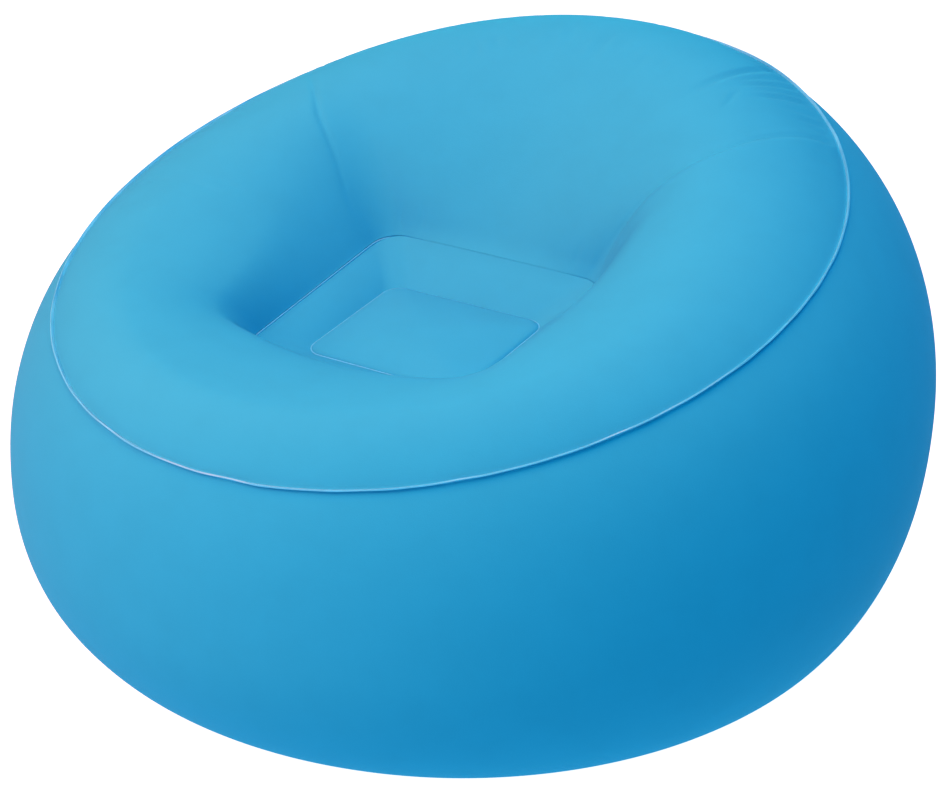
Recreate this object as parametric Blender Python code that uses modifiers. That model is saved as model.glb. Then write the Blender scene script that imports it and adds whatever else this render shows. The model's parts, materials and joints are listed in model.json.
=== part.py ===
"""Inflatable armchair: a round, air-filled drum with a deep seat pocket, as the sheets, welds,
inner webs and valve that it is made of.

Metres, +Z up. The chair faces -Y and stands on z = 0, with the origin under its middle.
A turn is an angle round the chair, measured from the back (+Y) towards +X.
"""

import math

import bmesh
import bpy
from mathutils import Matrix, Vector

MILLIMETRE = 0.001

# Sheets, welds and the clearance that touching pieces keep
SKIN = 0.4 * MILLIMETRE
GAP = 0.3 * MILLIMETRE
MERGE_DISTANCE = 0.01 * MILLIMETRE

# Outer shape of the drum
CHAIR_RADIUS = 0.560
BASE_INSET = 0.180
EQUATOR_BACK = 0.386
EQUATOR_SIDE = 0.265
EQUATOR_FRONT = 0.192
CROWN_BACK = 0.660
CROWN_SIDE = 0.553
CROWN_FRONT = 0.440
CROWN_INSET_BACK = 0.212
CROWN_INSET_SIDE = 0.230
CROWN_INSET_FRONT = 0.113
SEAM_ANGLE_BACK = math.radians(67.5)
SEAM_ANGLE_SIDE = math.radians(57.9)
SEAM_ANGLE_FRONT = math.radians(50.9)

# Seat pocket: the rounded square where the band starts, and the seat floor inside it
BAND_HALF_WIDTH = 0.161
BAND_HALF_LENGTH = 0.147
BAND_CORNER = 0.033
BAND_CENTRE_Y = -0.093
BAND_TILT = math.radians(9.9)
LIP_DEPTH = 0.057
FLARE_SIDE = 0.050
FLARE_END = 0.056
FLOOR_CORNER = 0.022
FLOOR_SHIFT_Y = -0.002
FLOOR_DROP = 0.029
FLOOR_TILT = math.radians(7.1)

# The two creases from the pocket's rear corners over the crown
CREASE_SHARE = 6.5 / 48
CREASE_WIDTH_SHARE = 0.7 / 48
CREASE_DEPTH_SEAM = 0.003
CREASE_DEPTH_CROWN = 0.014
CREASE_DEPTH_POCKET = 0.010
CREASE_CROWN_DRIFT_SHARE = 0.32

# Facets
COLUMNS = 48
LOWER_ROWS = 6
UPPER_ROWS = 5
CROWN_ROWS = 3
POCKET_ROWS = 9
BAND_ROWS = 3

# Welds
PERIMETER_FIN_HEIGHT = 4 * MILLIMETRE
PERIMETER_FIN_THICKNESS = 1.2 * MILLIMETRE
INNER_FIN_WIDTH = 6 * MILLIMETRE
INNER_FIN_THICKNESS = 1 * MILLIMETRE
BASE_WELD_WIDTH = 10 * MILLIMETRE
BASE_WELD_THICKNESS = 0.6 * MILLIMETRE

# Webs that tie the seat floor to the base panel
WEB_THICKNESS = 0.5 * MILLIMETRE
WEB_INSET = 0.022
WEB_CORNER_GAP = 1 * MILLIMETRE
WEB_TAPER = 0.020
WEB_HOLE_RADIUS = 0.024
WEB_HOLE_SIDES = 24
TAPE_WIDTH = 0.018
TAPE_OVERHANG = 0.004
TAPE_THICKNESS = 0.5 * MILLIMETRE

# Valve: all of its heights are measured outwards from the side skin's outer face
VALVE_ROW = 4
FLANGE_RADIUS = 0.030
FLANGE_THICKNESS = 0.8 * MILLIMETRE
NECK_BORE_RADIUS = 14.5 * MILLIMETRE
NECK_WALL = 2 * MILLIMETRE
NECK_RISE = 3.5 * MILLIMETRE
NECK_DEPTH = 8 * MILLIMETRE
NECK_COLLAR_WIDTH = 5 * MILLIMETRE
NECK_COLLAR_THICKNESS = 1.2 * MILLIMETRE
GASKET_WALL = 1.7 * MILLIMETRE
GASKET_THICKNESS = 1 * MILLIMETRE
RING_WALL = 2.7 * MILLIMETRE
RIM_HEIGHT = 3.5 * MILLIMETRE
RIM_OVERHANG = 3 * MILLIMETRE
RIM_NOTCHES = 10
NOTCH_RADIUS = 1.6 * MILLIMETRE
NOTCH_SIDES = 8
INSERT_BORE_RADIUS = 9.5 * MILLIMETRE
INSERT_DEPTH = 12 * MILLIMETRE
SPIDER_BAR_WIDTH = 2 * MILLIMETRE
SPIDER_BAR_HEIGHT = 2 * MILLIMETRE
SPIDER_BITE = 1.5 * MILLIMETRE
FLAP_LAP = 2.3 * MILLIMETRE
FLAP_THICKNESS = 1 * MILLIMETRE
CAP_RADIUS = 12.5 * MILLIMETRE
CAP_THICKNESS = 2 * MILLIMETRE
PLUG_DEPTH = 4 * MILLIMETRE
PLUG_CLEARANCE = 0.5 * MILLIMETRE
PLUG_WALL = 1.5 * MILLIMETRE
TAB_LENGTH = 8 * MILLIMETRE
TAB_WIDTH = 8 * MILLIMETRE
TAB_THICKNESS = 1.2 * MILLIMETRE
STRAP_REACH = 4 * MILLIMETRE
STRAP_WIDTH = 6 * MILLIMETRE
STRAP_THICKNESS = 1.2 * MILLIMETRE
TURNED_STEPS = 32
CUT_OVERRUN = 2 * MILLIMETRE

# Times that the search for the band's edge halves its range
HALVINGS = 40

# Colours, as linear red, green and blue, and how rough each finish is
FLOCK_BLUE = (0.052, 0.372, 0.624)
WELD_BLUE = (0.040, 0.330, 0.590)
INNER_BLUE = (0.180, 0.420, 0.600)
VALVE_BLUE = (0.020, 0.160, 0.420)
RUBBER_GREY = (0.060, 0.060, 0.065)
FLOCK_ROUGHNESS = 0.9
SHEET_ROUGHNESS = 0.5
PLASTIC_ROUGHNESS = 0.35
RUBBER_ROUGHNESS = 0.7

# Worked out from the sizes above
BASE_RADIUS = CHAIR_RADIUS - BASE_INSET
BAND_FRONT_HEIGHT = CROWN_FRONT - LIP_DEPTH
BAND_HEIGHT = BAND_FRONT_HEIGHT + BAND_HALF_LENGTH * math.tan(BAND_TILT)
FLOOR_HALF_WIDTH = BAND_HALF_WIDTH - FLARE_SIDE
FLOOR_HALF_LENGTH = BAND_HALF_LENGTH - FLARE_END
FLOOR_CENTRE_Y = BAND_CENTRE_Y + FLOOR_SHIFT_Y
FLOOR_HEIGHT = BAND_HEIGHT - FLOOR_DROP
PERIMETER_SLOT = PERIMETER_FIN_THICKNESS / 2 + GAP
INNER_SLOT = INNER_FIN_THICKNESS / 2 + GAP
NECK_RADIUS = NECK_BORE_RADIUS + NECK_WALL
SKIN_HOLE_RADIUS = NECK_RADIUS + GAP
BARREL_RADIUS = NECK_BORE_RADIUS - GAP
RIM_RADIUS = NECK_RADIUS + RIM_OVERHANG
FLANGE_TOP = GAP + FLANGE_THICKNESS
GASKET_BOTTOM = NECK_RISE + GAP
GASKET_TOP = GASKET_BOTTOM + GASKET_THICKNESS
RIM_BOTTOM = GASKET_TOP + GAP
RIM_TOP = RIM_BOTTOM + RIM_HEIGHT
CAP_BOTTOM = RIM_TOP + GAP
CAP_TOP = CAP_BOTTOM + CAP_THICKNESS
HINGE_HEIGHT = CAP_BOTTOM + CAP_THICKNESS / 2
HINGE_DISTANCE = RIM_RADIUS + STRAP_REACH
FLAP_RADIUS = INSERT_BORE_RADIUS + FLAP_LAP
FLAP_TOP = -INSERT_DEPTH - GAP


def clear_scene():
    """Remove every object that the scene starts with."""
    for thing in list(bpy.data.objects):
        bpy.data.objects.remove(thing, do_unlink=True)


def new_collection(name):
    """Make a collection in the scene."""
    collection = bpy.data.collections.new(name)
    bpy.context.scene.collection.children.link(collection)
    return collection


def new_material(name, colour, roughness):
    """Make a plain Principled material."""
    material = bpy.data.materials.new(name)
    material.use_nodes = True
    shader = material.node_tree.nodes["Principled BSDF"]
    shader.inputs["Base Color"].default_value = (*colour, 1)
    shader.inputs["Roughness"].default_value = roughness
    shader.inputs["Metallic"].default_value = 0
    return material


clear_scene()
CHAIR = new_collection("inflatable_chair")
CUTTERS = new_collection("cutters")
FLOCK = new_material("flocked_sheet", FLOCK_BLUE, FLOCK_ROUGHNESS)
WELD = new_material("weld", WELD_BLUE, SHEET_ROUGHNESS)
INNER = new_material("inner_sheet", INNER_BLUE, SHEET_ROUGHNESS)
HARD = new_material("valve_plastic", VALVE_BLUE, PLASTIC_ROUGHNESS)
RUBBER = new_material("valve_rubber", RUBBER_GREY, RUBBER_ROUGHNESS)


def add_object(name, data, material, collection=CHAIR):
    """Put mesh or curve data into the scene as an object."""
    thing = bpy.data.objects.new(name, data)
    collection.objects.link(thing)
    if material:
        data.materials.append(material)
    return thing


def add_cutter(name, mesh):
    """Put a mesh into the cutters' collection, hidden from the model."""
    cutter = add_object(name, mesh, None, CUTTERS)
    cutter.hide_render = True
    cutter.display_type = "WIRE"
    return cutter


def add_boolean(thing, cutter, operation):
    """Cut or join a piece with a cutter."""
    modifier = thing.modifiers.new(cutter.name, "BOOLEAN")
    modifier.object = cutter
    modifier.operation = operation
    modifier.solver = "EXACT"


# Shape of the chair


def ring_value(back, side, front, turn):
    """Ease a size round the chair, from the back over the side to the front."""
    middle = (back + front) / 2
    level = (middle + side) / 2
    return level + (back - front) / 2 * math.cos(turn) + (middle - side) / 2 * math.cos(2 * turn)


def crown_radius(turn):
    """Distance of the crown from the chair's axis."""
    return CHAIR_RADIUS - ring_value(CROWN_INSET_BACK, CROWN_INSET_SIDE, CROWN_INSET_FRONT, turn)


def crown_height(turn):
    """Height of the crown."""
    return ring_value(CROWN_BACK, CROWN_SIDE, CROWN_FRONT, turn)


def equator_height(turn):
    """Height at which the side wall is widest."""
    return ring_value(EQUATOR_BACK, EQUATOR_SIDE, EQUATOR_FRONT, turn)


def seam_angle(turn):
    """Angle of the perimeter seam on the upper wall."""
    return ring_value(SEAM_ANGLE_BACK, SEAM_ANGLE_SIDE, SEAM_ANGLE_FRONT, turn)


def at_turn(radius, turn, height):
    """Point from its distance to the axis, its turn and its height."""
    return Vector((radius * math.sin(turn), radius * math.cos(turn), height))


def lower_wall(turn, angle):
    """Side wall below its widest line: angle 0 at the base, a quarter turn at the widest line."""
    radius = BASE_RADIUS + GAP + (CHAIR_RADIUS - BASE_RADIUS - GAP) * math.sin(angle)
    return at_turn(radius, turn, equator_height(turn) * (1 - math.cos(angle)))


def upper_wall(turn, angle):
    """Outer wall above its widest line: angle 0 there, a quarter turn at the crown."""
    radius = crown_radius(turn) + (CHAIR_RADIUS - crown_radius(turn)) * math.cos(angle)
    rise = crown_height(turn) - equator_height(turn)
    return at_turn(radius, turn, equator_height(turn) + rise * math.sin(angle))


def seam_frame(turn):
    """Seam point with the directions up the wall and out of it."""
    angle = seam_angle(turn)
    across = -(CHAIR_RADIUS - crown_radius(turn)) * math.sin(angle)
    rise = (crown_height(turn) - equator_height(turn)) * math.cos(angle)
    up = at_turn(across, turn, rise).normalized()
    out = at_turn(rise, turn, -across).normalized()
    return upper_wall(turn, angle), up, out


def rounded_rectangle(half_width, half_length, corner, share):
    """Point at a share of the way round, from the middle of the back edge towards +X."""
    straight_x = half_width - corner
    straight_y = half_length - corner
    arc = corner * math.pi / 2
    half_way = 2 * (straight_x + straight_y + arc)
    walk = 2 * half_way * min(share, 1 - share)
    if walk < straight_x:
        x, y = walk, half_length
    elif walk < straight_x + arc:
        angle = (walk - straight_x) / corner
        x = straight_x + corner * math.sin(angle)
        y = straight_y + corner * math.cos(angle)
    elif walk < straight_x + arc + 2 * straight_y:
        x, y = half_width, straight_y - (walk - straight_x - arc)
    elif walk < half_way - straight_x:
        angle = (walk - straight_x - arc - 2 * straight_y) / corner
        x = straight_x + corner * math.cos(angle)
        y = -straight_y - corner * math.sin(angle)
    else:
        x, y = half_way - walk, -half_length
    if share > 1 / 2:
        x = -x
    return x, y


def band_point(share, lift):
    """Point of the band's upper edge, lifted off its tilted plane."""
    x, y = rounded_rectangle(BAND_HALF_WIDTH, BAND_HALF_LENGTH, BAND_CORNER, share)
    return Vector((x, BAND_CENTRE_Y + y, BAND_HEIGHT + y * math.tan(BAND_TILT) + lift))


def floor_point(share, lift, grow=0):
    """Point of the seat floor's edge, grown outwards and lifted off its tilted plane."""
    x, y = rounded_rectangle(FLOOR_HALF_WIDTH + grow, FLOOR_HALF_LENGTH + grow, FLOOR_CORNER + grow, share)
    return Vector((x, FLOOR_CENTRE_Y + y, FLOOR_HEIGHT + y * math.tan(FLOOR_TILT) + lift))


def outside_band(x, y):
    """Distance of a point from the band's rounded rectangle, negative within it."""
    over_x = abs(x) - (BAND_HALF_WIDTH - BAND_CORNER)
    over_y = abs(y - BAND_CENTRE_Y) - (BAND_HALF_LENGTH - BAND_CORNER)
    beyond = math.hypot(max(over_x, 0), max(over_y, 0))
    return beyond + min(max(over_x, over_y), 0) - BAND_CORNER


def band_radius(turn):
    """Distance from the chair's axis to the band's upper edge, found by halving."""
    near, far = 0, crown_radius(turn)
    for _ in range(HALVINGS):
        middle = (near + far) / 2
        if outside_band(middle * math.sin(turn), middle * math.cos(turn)) < 0:
            near = middle
        else:
            far = middle
    return (near + far) / 2


def band_height(turn):
    """Height of the band's upper edge at a turn."""
    along = band_radius(turn) * math.cos(turn) - BAND_CENTRE_Y
    return BAND_HEIGHT + along * math.tan(BAND_TILT)


def pocket_wall(turn, angle):
    """Wall from the crown (angle 0) down into the pocket, to the band (a quarter turn)."""
    radius = crown_radius(turn) - (crown_radius(turn) - band_radius(turn)) * math.sin(angle)
    rise = crown_height(turn) - band_height(turn)
    return at_turn(radius, turn, band_height(turn) + rise * math.cos(angle))


def share_of(column):
    """Share of the way round at which a column stands."""
    return (column + 1 / 2) / COLUMNS


def column_turn(column, drift):
    """Turn of a column, which drifts from an even spacing towards its place on the band."""
    share = share_of(column)
    even = 2 * math.pi * share
    point = band_point(share, 0)
    at_band = math.atan2(point.x, point.y) % (2 * math.pi)
    return even + (at_band - even) * drift


def crease_at(column):
    """How much of a crease's depth a column has, from 0 to 1."""
    share = min(share_of(column), 1 - share_of(column))
    return math.exp(-(((share - CREASE_SHARE) / CREASE_WIDTH_SHARE) ** 2))


def sink(point, centre, depth):
    """Move a point towards the middle of its arch."""
    return point + (centre - point).normalized() * depth


# Ways to make a sheet or a turned piece


def loft(name, rings, material, thickness, offset, closed=True):
    """Skin a list of rings, and give the sheet its thickness."""
    sheet = bmesh.new()
    rows = []
    for ring in rings:
        rows.append([sheet.verts.new(point) for point in ring])
    count = len(rings[0])
    last = count if closed else count - 1
    for lower, upper in zip(rows, rows[1:]):
        for column in range(last):
            after = (column + 1) % count
            sheet.faces.new((lower[column], upper[column], upper[after], lower[after]))
    mesh = bpy.data.meshes.new(name)
    sheet.to_mesh(mesh)
    sheet.free()
    mesh.shade_smooth()
    thing = add_object(name, mesh, material)
    solidify = thing.modifiers.new("thickness", "SOLIDIFY")
    solidify.thickness = thickness
    solidify.offset = offset
    solidify.use_even_offset = True
    return thing


def turned(name, profile, material, closed_profile):
    """Turn a profile of (radius, height) points round local Z."""
    mesh = bpy.data.meshes.new(name)
    shape = bmesh.new()
    points = [shape.verts.new((radius, 0, height)) for radius, height in profile]
    for first, second in zip(points, points[1:]):
        shape.edges.new((first, second))
    if closed_profile:
        shape.edges.new((points[-1], points[0]))
    shape.to_mesh(mesh)
    shape.free()
    thing = add_object(name, mesh, material)
    screw = thing.modifiers.new("turn", "SCREW")
    screw.steps = TURNED_STEPS
    screw.render_steps = TURNED_STEPS
    screw.use_merge_vertices = True
    screw.merge_threshold = MERGE_DISTANCE
    screw.use_smooth_shade = False
    return thing


def box_mesh(name, size, centre):
    """Mesh of a box."""
    mesh = bpy.data.meshes.new(name)
    shape = bmesh.new()
    bmesh.ops.create_cube(shape, size=1)
    bmesh.ops.scale(shape, vec=size, verts=shape.verts)
    bmesh.ops.translate(shape, vec=centre, verts=shape.verts)
    shape.to_mesh(mesh)
    shape.free()
    return mesh


def disc_mesh(name, radius, bottom, top, sides, centre_x=0, centre_y=0):
    """Mesh of a flat round disc or of a short cylinder."""
    mesh = bpy.data.meshes.new(name)
    shape = bmesh.new()
    bmesh.ops.create_cone(
        shape, cap_ends=True, segments=sides, radius1=radius, radius2=radius, depth=top - bottom
    )
    bmesh.ops.translate(shape, vec=(centre_x, centre_y, (top + bottom) / 2), verts=shape.verts)
    shape.to_mesh(mesh)
    shape.free()
    return mesh


def add_spline(curve, points):
    """Add a closed outline to a flat curve."""
    spline = curve.splines.new("POLY")
    spline.points.add(len(points) - 1)
    for place, (x, y) in zip(spline.points, points):
        place.co = (x, y, 0, 1)
    spline.use_cyclic_u = True


def flat_piece(name, outlines, thickness, material):
    """Flat sheet from its outline and its holes, centred on its own plane."""
    curve = bpy.data.curves.new(name, "CURVE")
    curve.dimensions = "2D"
    curve.fill_mode = "BOTH"
    curve.extrude = thickness / 2
    for points in outlines:
        add_spline(curve, points)
    return add_object(name, curve, material)


# Skins


def side_rings():
    """Rings of the side skin, from the base to just under the perimeter seam."""
    rings = []
    for row in range(LOWER_ROWS):
        angle = math.pi / 2 * row / LOWER_ROWS
        rings.append([lower_wall(column_turn(c, 0), angle) for c in range(COLUMNS)])
    for row in range(UPPER_ROWS):
        ring = []
        for column in range(COLUMNS):
            turn = column_turn(column, 0)
            ring.append(upper_wall(turn, seam_angle(turn) * row / UPPER_ROWS))
        rings.append(ring)
    edge = []
    for column in range(COLUMNS):
        point, up, _ = seam_frame(column_turn(column, 0))
        edge.append(point - up * PERIMETER_SLOT)
    rings.append(edge)
    return rings


def crown_ring(row):
    """Ring of the top skin between the perimeter seam and the crown."""
    ring = []
    for column in range(COLUMNS):
        share = row / CROWN_ROWS
        turn = column_turn(column, CREASE_CROWN_DRIFT_SHARE * share)
        start = seam_angle(turn)
        angle = start + (math.pi / 2 - start) * share
        point = upper_wall(turn, angle)
        if row == 0:
            point, up, _ = seam_frame(turn)
            point += up * PERIMETER_SLOT
        centre = at_turn(crown_radius(turn), turn, equator_height(turn))
        depth = CREASE_DEPTH_SEAM + (CREASE_DEPTH_CROWN - CREASE_DEPTH_SEAM) * share
        if row == 0:
            depth = 0
        ring.append(sink(point, centre, depth * crease_at(column)))
    return ring


def pocket_ring(row):
    """Ring of the top skin between the crown and the band."""
    ring = []
    angle = math.pi / 2 * row / POCKET_ROWS
    drift = CREASE_CROWN_DRIFT_SHARE + (1 - CREASE_CROWN_DRIFT_SHARE) * math.sin(angle)
    for column in range(COLUMNS):
        turn = column_turn(column, drift)
        point = pocket_wall(turn, angle)
        centre = at_turn(crown_radius(turn), turn, band_height(turn))
        depth = CREASE_DEPTH_CROWN * math.cos(angle) + CREASE_DEPTH_POCKET * math.sin(angle)
        ring.append(sink(point, centre, depth * crease_at(column) * math.cos(angle)))
    return ring


def make_top_skin():
    """Panel over the back, arms and front lip, and down into the pocket."""
    rings = [crown_ring(row) for row in range(CROWN_ROWS)]
    rings += [pocket_ring(row) for row in range(POCKET_ROWS)]
    rings.append([band_point(share_of(c), INNER_SLOT) for c in range(COLUMNS)])
    loft("top_skin", rings, FLOCK, SKIN, -1)


def make_pocket_band():
    """Flared wall from the top skin down to the seat floor."""
    rings = []
    for row in range(BAND_ROWS + 1):
        share = row / BAND_ROWS
        ring = []
        for column in range(COLUMNS):
            high = band_point(share_of(column), -INNER_SLOT)
            low = floor_point(share_of(column), INNER_SLOT)
            ring.append(high + (low - high) * share)
        rings.append(ring)
    loft("pocket_band", rings, FLOCK, SKIN, -1)


def make_seat_floor():
    """Flat seat panel at the bottom of the pocket."""
    outline = []
    for column in range(COLUMNS):
        point = floor_point(share_of(column), 0, -INNER_SLOT)
        outline.append((point.x, (point.y - FLOOR_CENTRE_Y) / math.cos(FLOOR_TILT)))
    floor = flat_piece("seat_floor", [outline], SKIN, FLOCK)
    floor.location = (0, FLOOR_CENTRE_Y, FLOOR_HEIGHT)
    floor.rotation_euler = (FLOOR_TILT, 0, 0)


def make_side_skin():
    """Outer wall from the base to the perimeter seam, with the hole for the valve."""
    skin = loft("side_skin", side_rings(), FLOCK, SKIN, -1)
    hole = disc_mesh("valve_hole", SKIN_HOLE_RADIUS, -CUT_OVERRUN, CUT_OVERRUN, TURNED_STEPS)
    cutter = add_cutter("valve_hole", hole)
    cutter.matrix_world = valve_matrix()
    add_boolean(skin, cutter, "DIFFERENCE")


def make_base_panel():
    """Flat disc that the chair stands on."""
    rim = [at_turn(BASE_RADIUS, column_turn(c, 0), 0) for c in range(COLUMNS)]
    panel = flat_piece("base_panel", [[(point.x, point.y) for point in rim]], SKIN, FLOCK)
    panel.location.z = SKIN / 2


# Welds


def make_perimeter_weld():
    """Thin raised fin where the top skin and the side skin are welded together."""
    root = []
    tip = []
    for column in range(COLUMNS):
        point, _, out = seam_frame(column_turn(column, 0))
        root.append(point - out * SKIN)
        tip.append(point + out * PERIMETER_FIN_HEIGHT)
    loft("perimeter_weld", [root, tip], WELD, PERIMETER_FIN_THICKNESS, 0)


def make_band_weld():
    """Weld fin behind the band's upper edge, inside the air chamber."""
    root = []
    tip = []
    for column in range(COLUMNS):
        point = band_point(share_of(column), 0)
        middle = Vector((0, BAND_CENTRE_Y, BAND_HEIGHT))
        out = Vector((point.x - middle.x, point.y - middle.y, 0)).normalized()
        out.z = out.y * math.tan(BAND_TILT)
        root.append(point)
        tip.append(point + out * INNER_FIN_WIDTH)
    loft("band_weld", [root, tip], INNER, INNER_FIN_THICKNESS, 0)


def make_floor_weld():
    """Weld fin under the seat floor's edge, inside the air chamber."""
    root = [floor_point(share_of(c), 0) for c in range(COLUMNS)]
    tip = [floor_point(share_of(c), -INNER_FIN_WIDTH) for c in range(COLUMNS)]
    loft("floor_weld", [root, tip], INNER, INNER_FIN_THICKNESS, 0)


def make_base_weld():
    """Flat weld ring on the base panel's rim, inside the air chamber."""
    bottom = SKIN + GAP
    top = bottom + BASE_WELD_THICKNESS
    inner = BASE_RADIUS - BASE_WELD_WIDTH
    profile = [(BASE_RADIUS, top), (BASE_RADIUS, bottom), (inner, bottom), (inner, top)]
    ring = turned("base_weld", profile, INNER, True)
    ring.modifiers["turn"].steps = COLUMNS
    ring.modifiers["turn"].render_steps = COLUMNS
    ring.rotation_euler.z = math.pi / COLUMNS


# Webs


def floor_underside(y):
    """Height of the seat floor's lower face at a place along the chair."""
    half_sheet = SKIN / 2 / math.cos(FLOOR_TILT)
    return FLOOR_HEIGHT + (y - FLOOR_CENTRE_Y) * math.tan(FLOOR_TILT) - half_sheet


def web_outlines(half_foot, half_head, head_at):
    """Outline of a web with its air hole; head_at gives the head's height along the web."""
    foot = SKIN + 2 * GAP + TAPE_THICKNESS
    outline = [
        (-half_foot, foot),
        (half_foot, foot),
        (half_head, head_at(half_head)),
        (-half_head, head_at(-half_head)),
    ]
    middle = (foot + head_at(0)) / 2
    hole = []
    for side in range(WEB_HOLE_SIDES):
        angle = 2 * math.pi * side / WEB_HOLE_SIDES
        hole.append((WEB_HOLE_RADIUS * math.cos(angle), middle + WEB_HOLE_RADIUS * math.sin(angle)))
    return [outline, hole]


def tape(name, half_length, x, y, height, tilt, turn):
    """Flat weld tape under a web's foot or over its head."""
    length = 2 * (half_length + TAPE_OVERHANG)
    mesh = box_mesh(name, (length, TAPE_WIDTH, TAPE_THICKNESS), (0, 0, 0))
    thing = add_object(name, mesh, INNER)
    place = Matrix.Translation((x, y, height))
    thing.matrix_world = place @ Matrix.Rotation(tilt, 4, "X") @ Matrix.Rotation(turn, 4, "Z")


def make_web(name, half_foot, x, y, turn):
    """Upright web between the seat floor and the base, with its head and foot tapes."""
    half_head = half_foot - WEB_TAPER
    slope = math.tan(FLOOR_TILT) * math.sin(turn)
    spare = (2 * GAP + TAPE_THICKNESS) / math.cos(FLOOR_TILT)
    tilt_room = WEB_THICKNESS / 2 * math.tan(FLOOR_TILT) * math.cos(turn)

    def head_at(along):
        return floor_underside(y) + along * slope - spare - abs(tilt_room)

    web = flat_piece(name, web_outlines(half_foot, half_head, head_at), WEB_THICKNESS, INNER)
    upright = Matrix.Rotation(math.pi / 2, 4, "X")
    web.matrix_world = Matrix.Translation((x, y, 0)) @ Matrix.Rotation(turn, 4, "Z") @ upright
    foot_height = SKIN + GAP + TAPE_THICKNESS / 2
    tape(name + "_foot_tape", half_foot, x, y, foot_height, 0, turn)
    head_height = floor_underside(y) - (GAP + TAPE_THICKNESS / 2) / math.cos(FLOOR_TILT)
    tape(name + "_head_tape", half_head, x, y, head_height, FLOOR_TILT, turn)


def make_webs():
    """The four webs, one inside each edge of the seat floor."""
    side_x = FLOOR_HALF_WIDTH - WEB_INSET
    end_y = FLOOR_HALF_LENGTH - WEB_INSET
    cross_foot = side_x - TAPE_WIDTH / 2 - TAPE_OVERHANG - WEB_CORNER_GAP
    long_foot = end_y + TAPE_WIDTH / 2 - TAPE_OVERHANG
    make_web("left_web", long_foot, -side_x, FLOOR_CENTRE_Y, math.pi / 2)
    make_web("right_web", long_foot, side_x, FLOOR_CENTRE_Y, math.pi / 2)
    make_web("front_web", cross_foot, 0, FLOOR_CENTRE_Y - end_y, 0)
    make_web("rear_web", cross_foot, 0, FLOOR_CENTRE_Y + end_y, 0)


# Valve, in the middle of the back, on the flat facet of the side skin there


def valve_matrix():
    """Place of the valve: local Z points out of the chair, and local Y down along the skin."""
    half_column = math.pi / COLUMNS
    low = lower_wall(half_column, math.pi / 2 * VALVE_ROW / LOWER_ROWS)
    high = lower_wall(half_column, math.pi / 2 * (VALVE_ROW + 1) / LOWER_ROWS)
    out = Vector((0, high.z - low.z, low.y - high.y)).normalized()
    down = out.cross(Vector((1, 0, 0)))
    middle = (low + high) / 2
    turned_axes = Matrix(((1, 0, 0), down, out)).transposed()
    return Matrix.Translation((0, middle.y, middle.z)) @ turned_axes.to_4x4()


def on_valve(thing, frame, place=(0, 0, 0)):
    """Parent a piece to the valve's frame at a local place."""
    thing.parent = frame
    thing.location = place


def make_flange(frame):
    """Soft disc that is welded to the outside of the side skin round the neck."""
    profile = [
        (FLANGE_RADIUS, FLANGE_TOP),
        (FLANGE_RADIUS, GAP),
        (SKIN_HOLE_RADIUS, GAP),
        (SKIN_HOLE_RADIUS, FLANGE_TOP),
    ]
    on_valve(turned("valve_flange", profile, WELD, True), frame)


def make_neck(frame):
    """Stiff ring through the skin, with its collar inside."""
    collar_top = -SKIN - GAP
    collar_bottom = collar_top - NECK_COLLAR_THICKNESS
    collar_radius = NECK_RADIUS + NECK_COLLAR_WIDTH
    profile = [
        (NECK_RADIUS, NECK_RISE),
        (NECK_RADIUS, collar_top),
        (collar_radius, collar_top),
        (collar_radius, collar_bottom),
        (NECK_RADIUS, collar_bottom),
        (NECK_RADIUS, -NECK_DEPTH),
        (NECK_BORE_RADIUS, -NECK_DEPTH),
        (NECK_BORE_RADIUS, NECK_RISE),
    ]
    on_valve(turned("valve_neck", profile, HARD, True), frame)


def make_gasket(frame):
    """Rubber ring on the neck's end."""
    outer = NECK_RADIUS - GAP / 2
    profile = [
        (outer, GASKET_TOP),
        (outer, GASKET_BOTTOM),
        (outer - GASKET_WALL, GASKET_BOTTOM),
        (outer - GASKET_WALL, GASKET_TOP),
    ]
    on_valve(turned("valve_gasket", profile, RUBBER, True), frame)


def make_strap_ring(frame):
    """Ring round the neck that holds the stopper's strap."""
    bottom = FLANGE_TOP + GAP
    top = RIM_BOTTOM - GAP
    inner = NECK_RADIUS + GAP
    outer = inner + RING_WALL
    profile = [(outer, top), (outer, bottom), (inner, bottom), (inner, top)]
    on_valve(turned("strap_ring", profile, HARD, True), frame)
    return outer, (bottom + top) / 2


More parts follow.
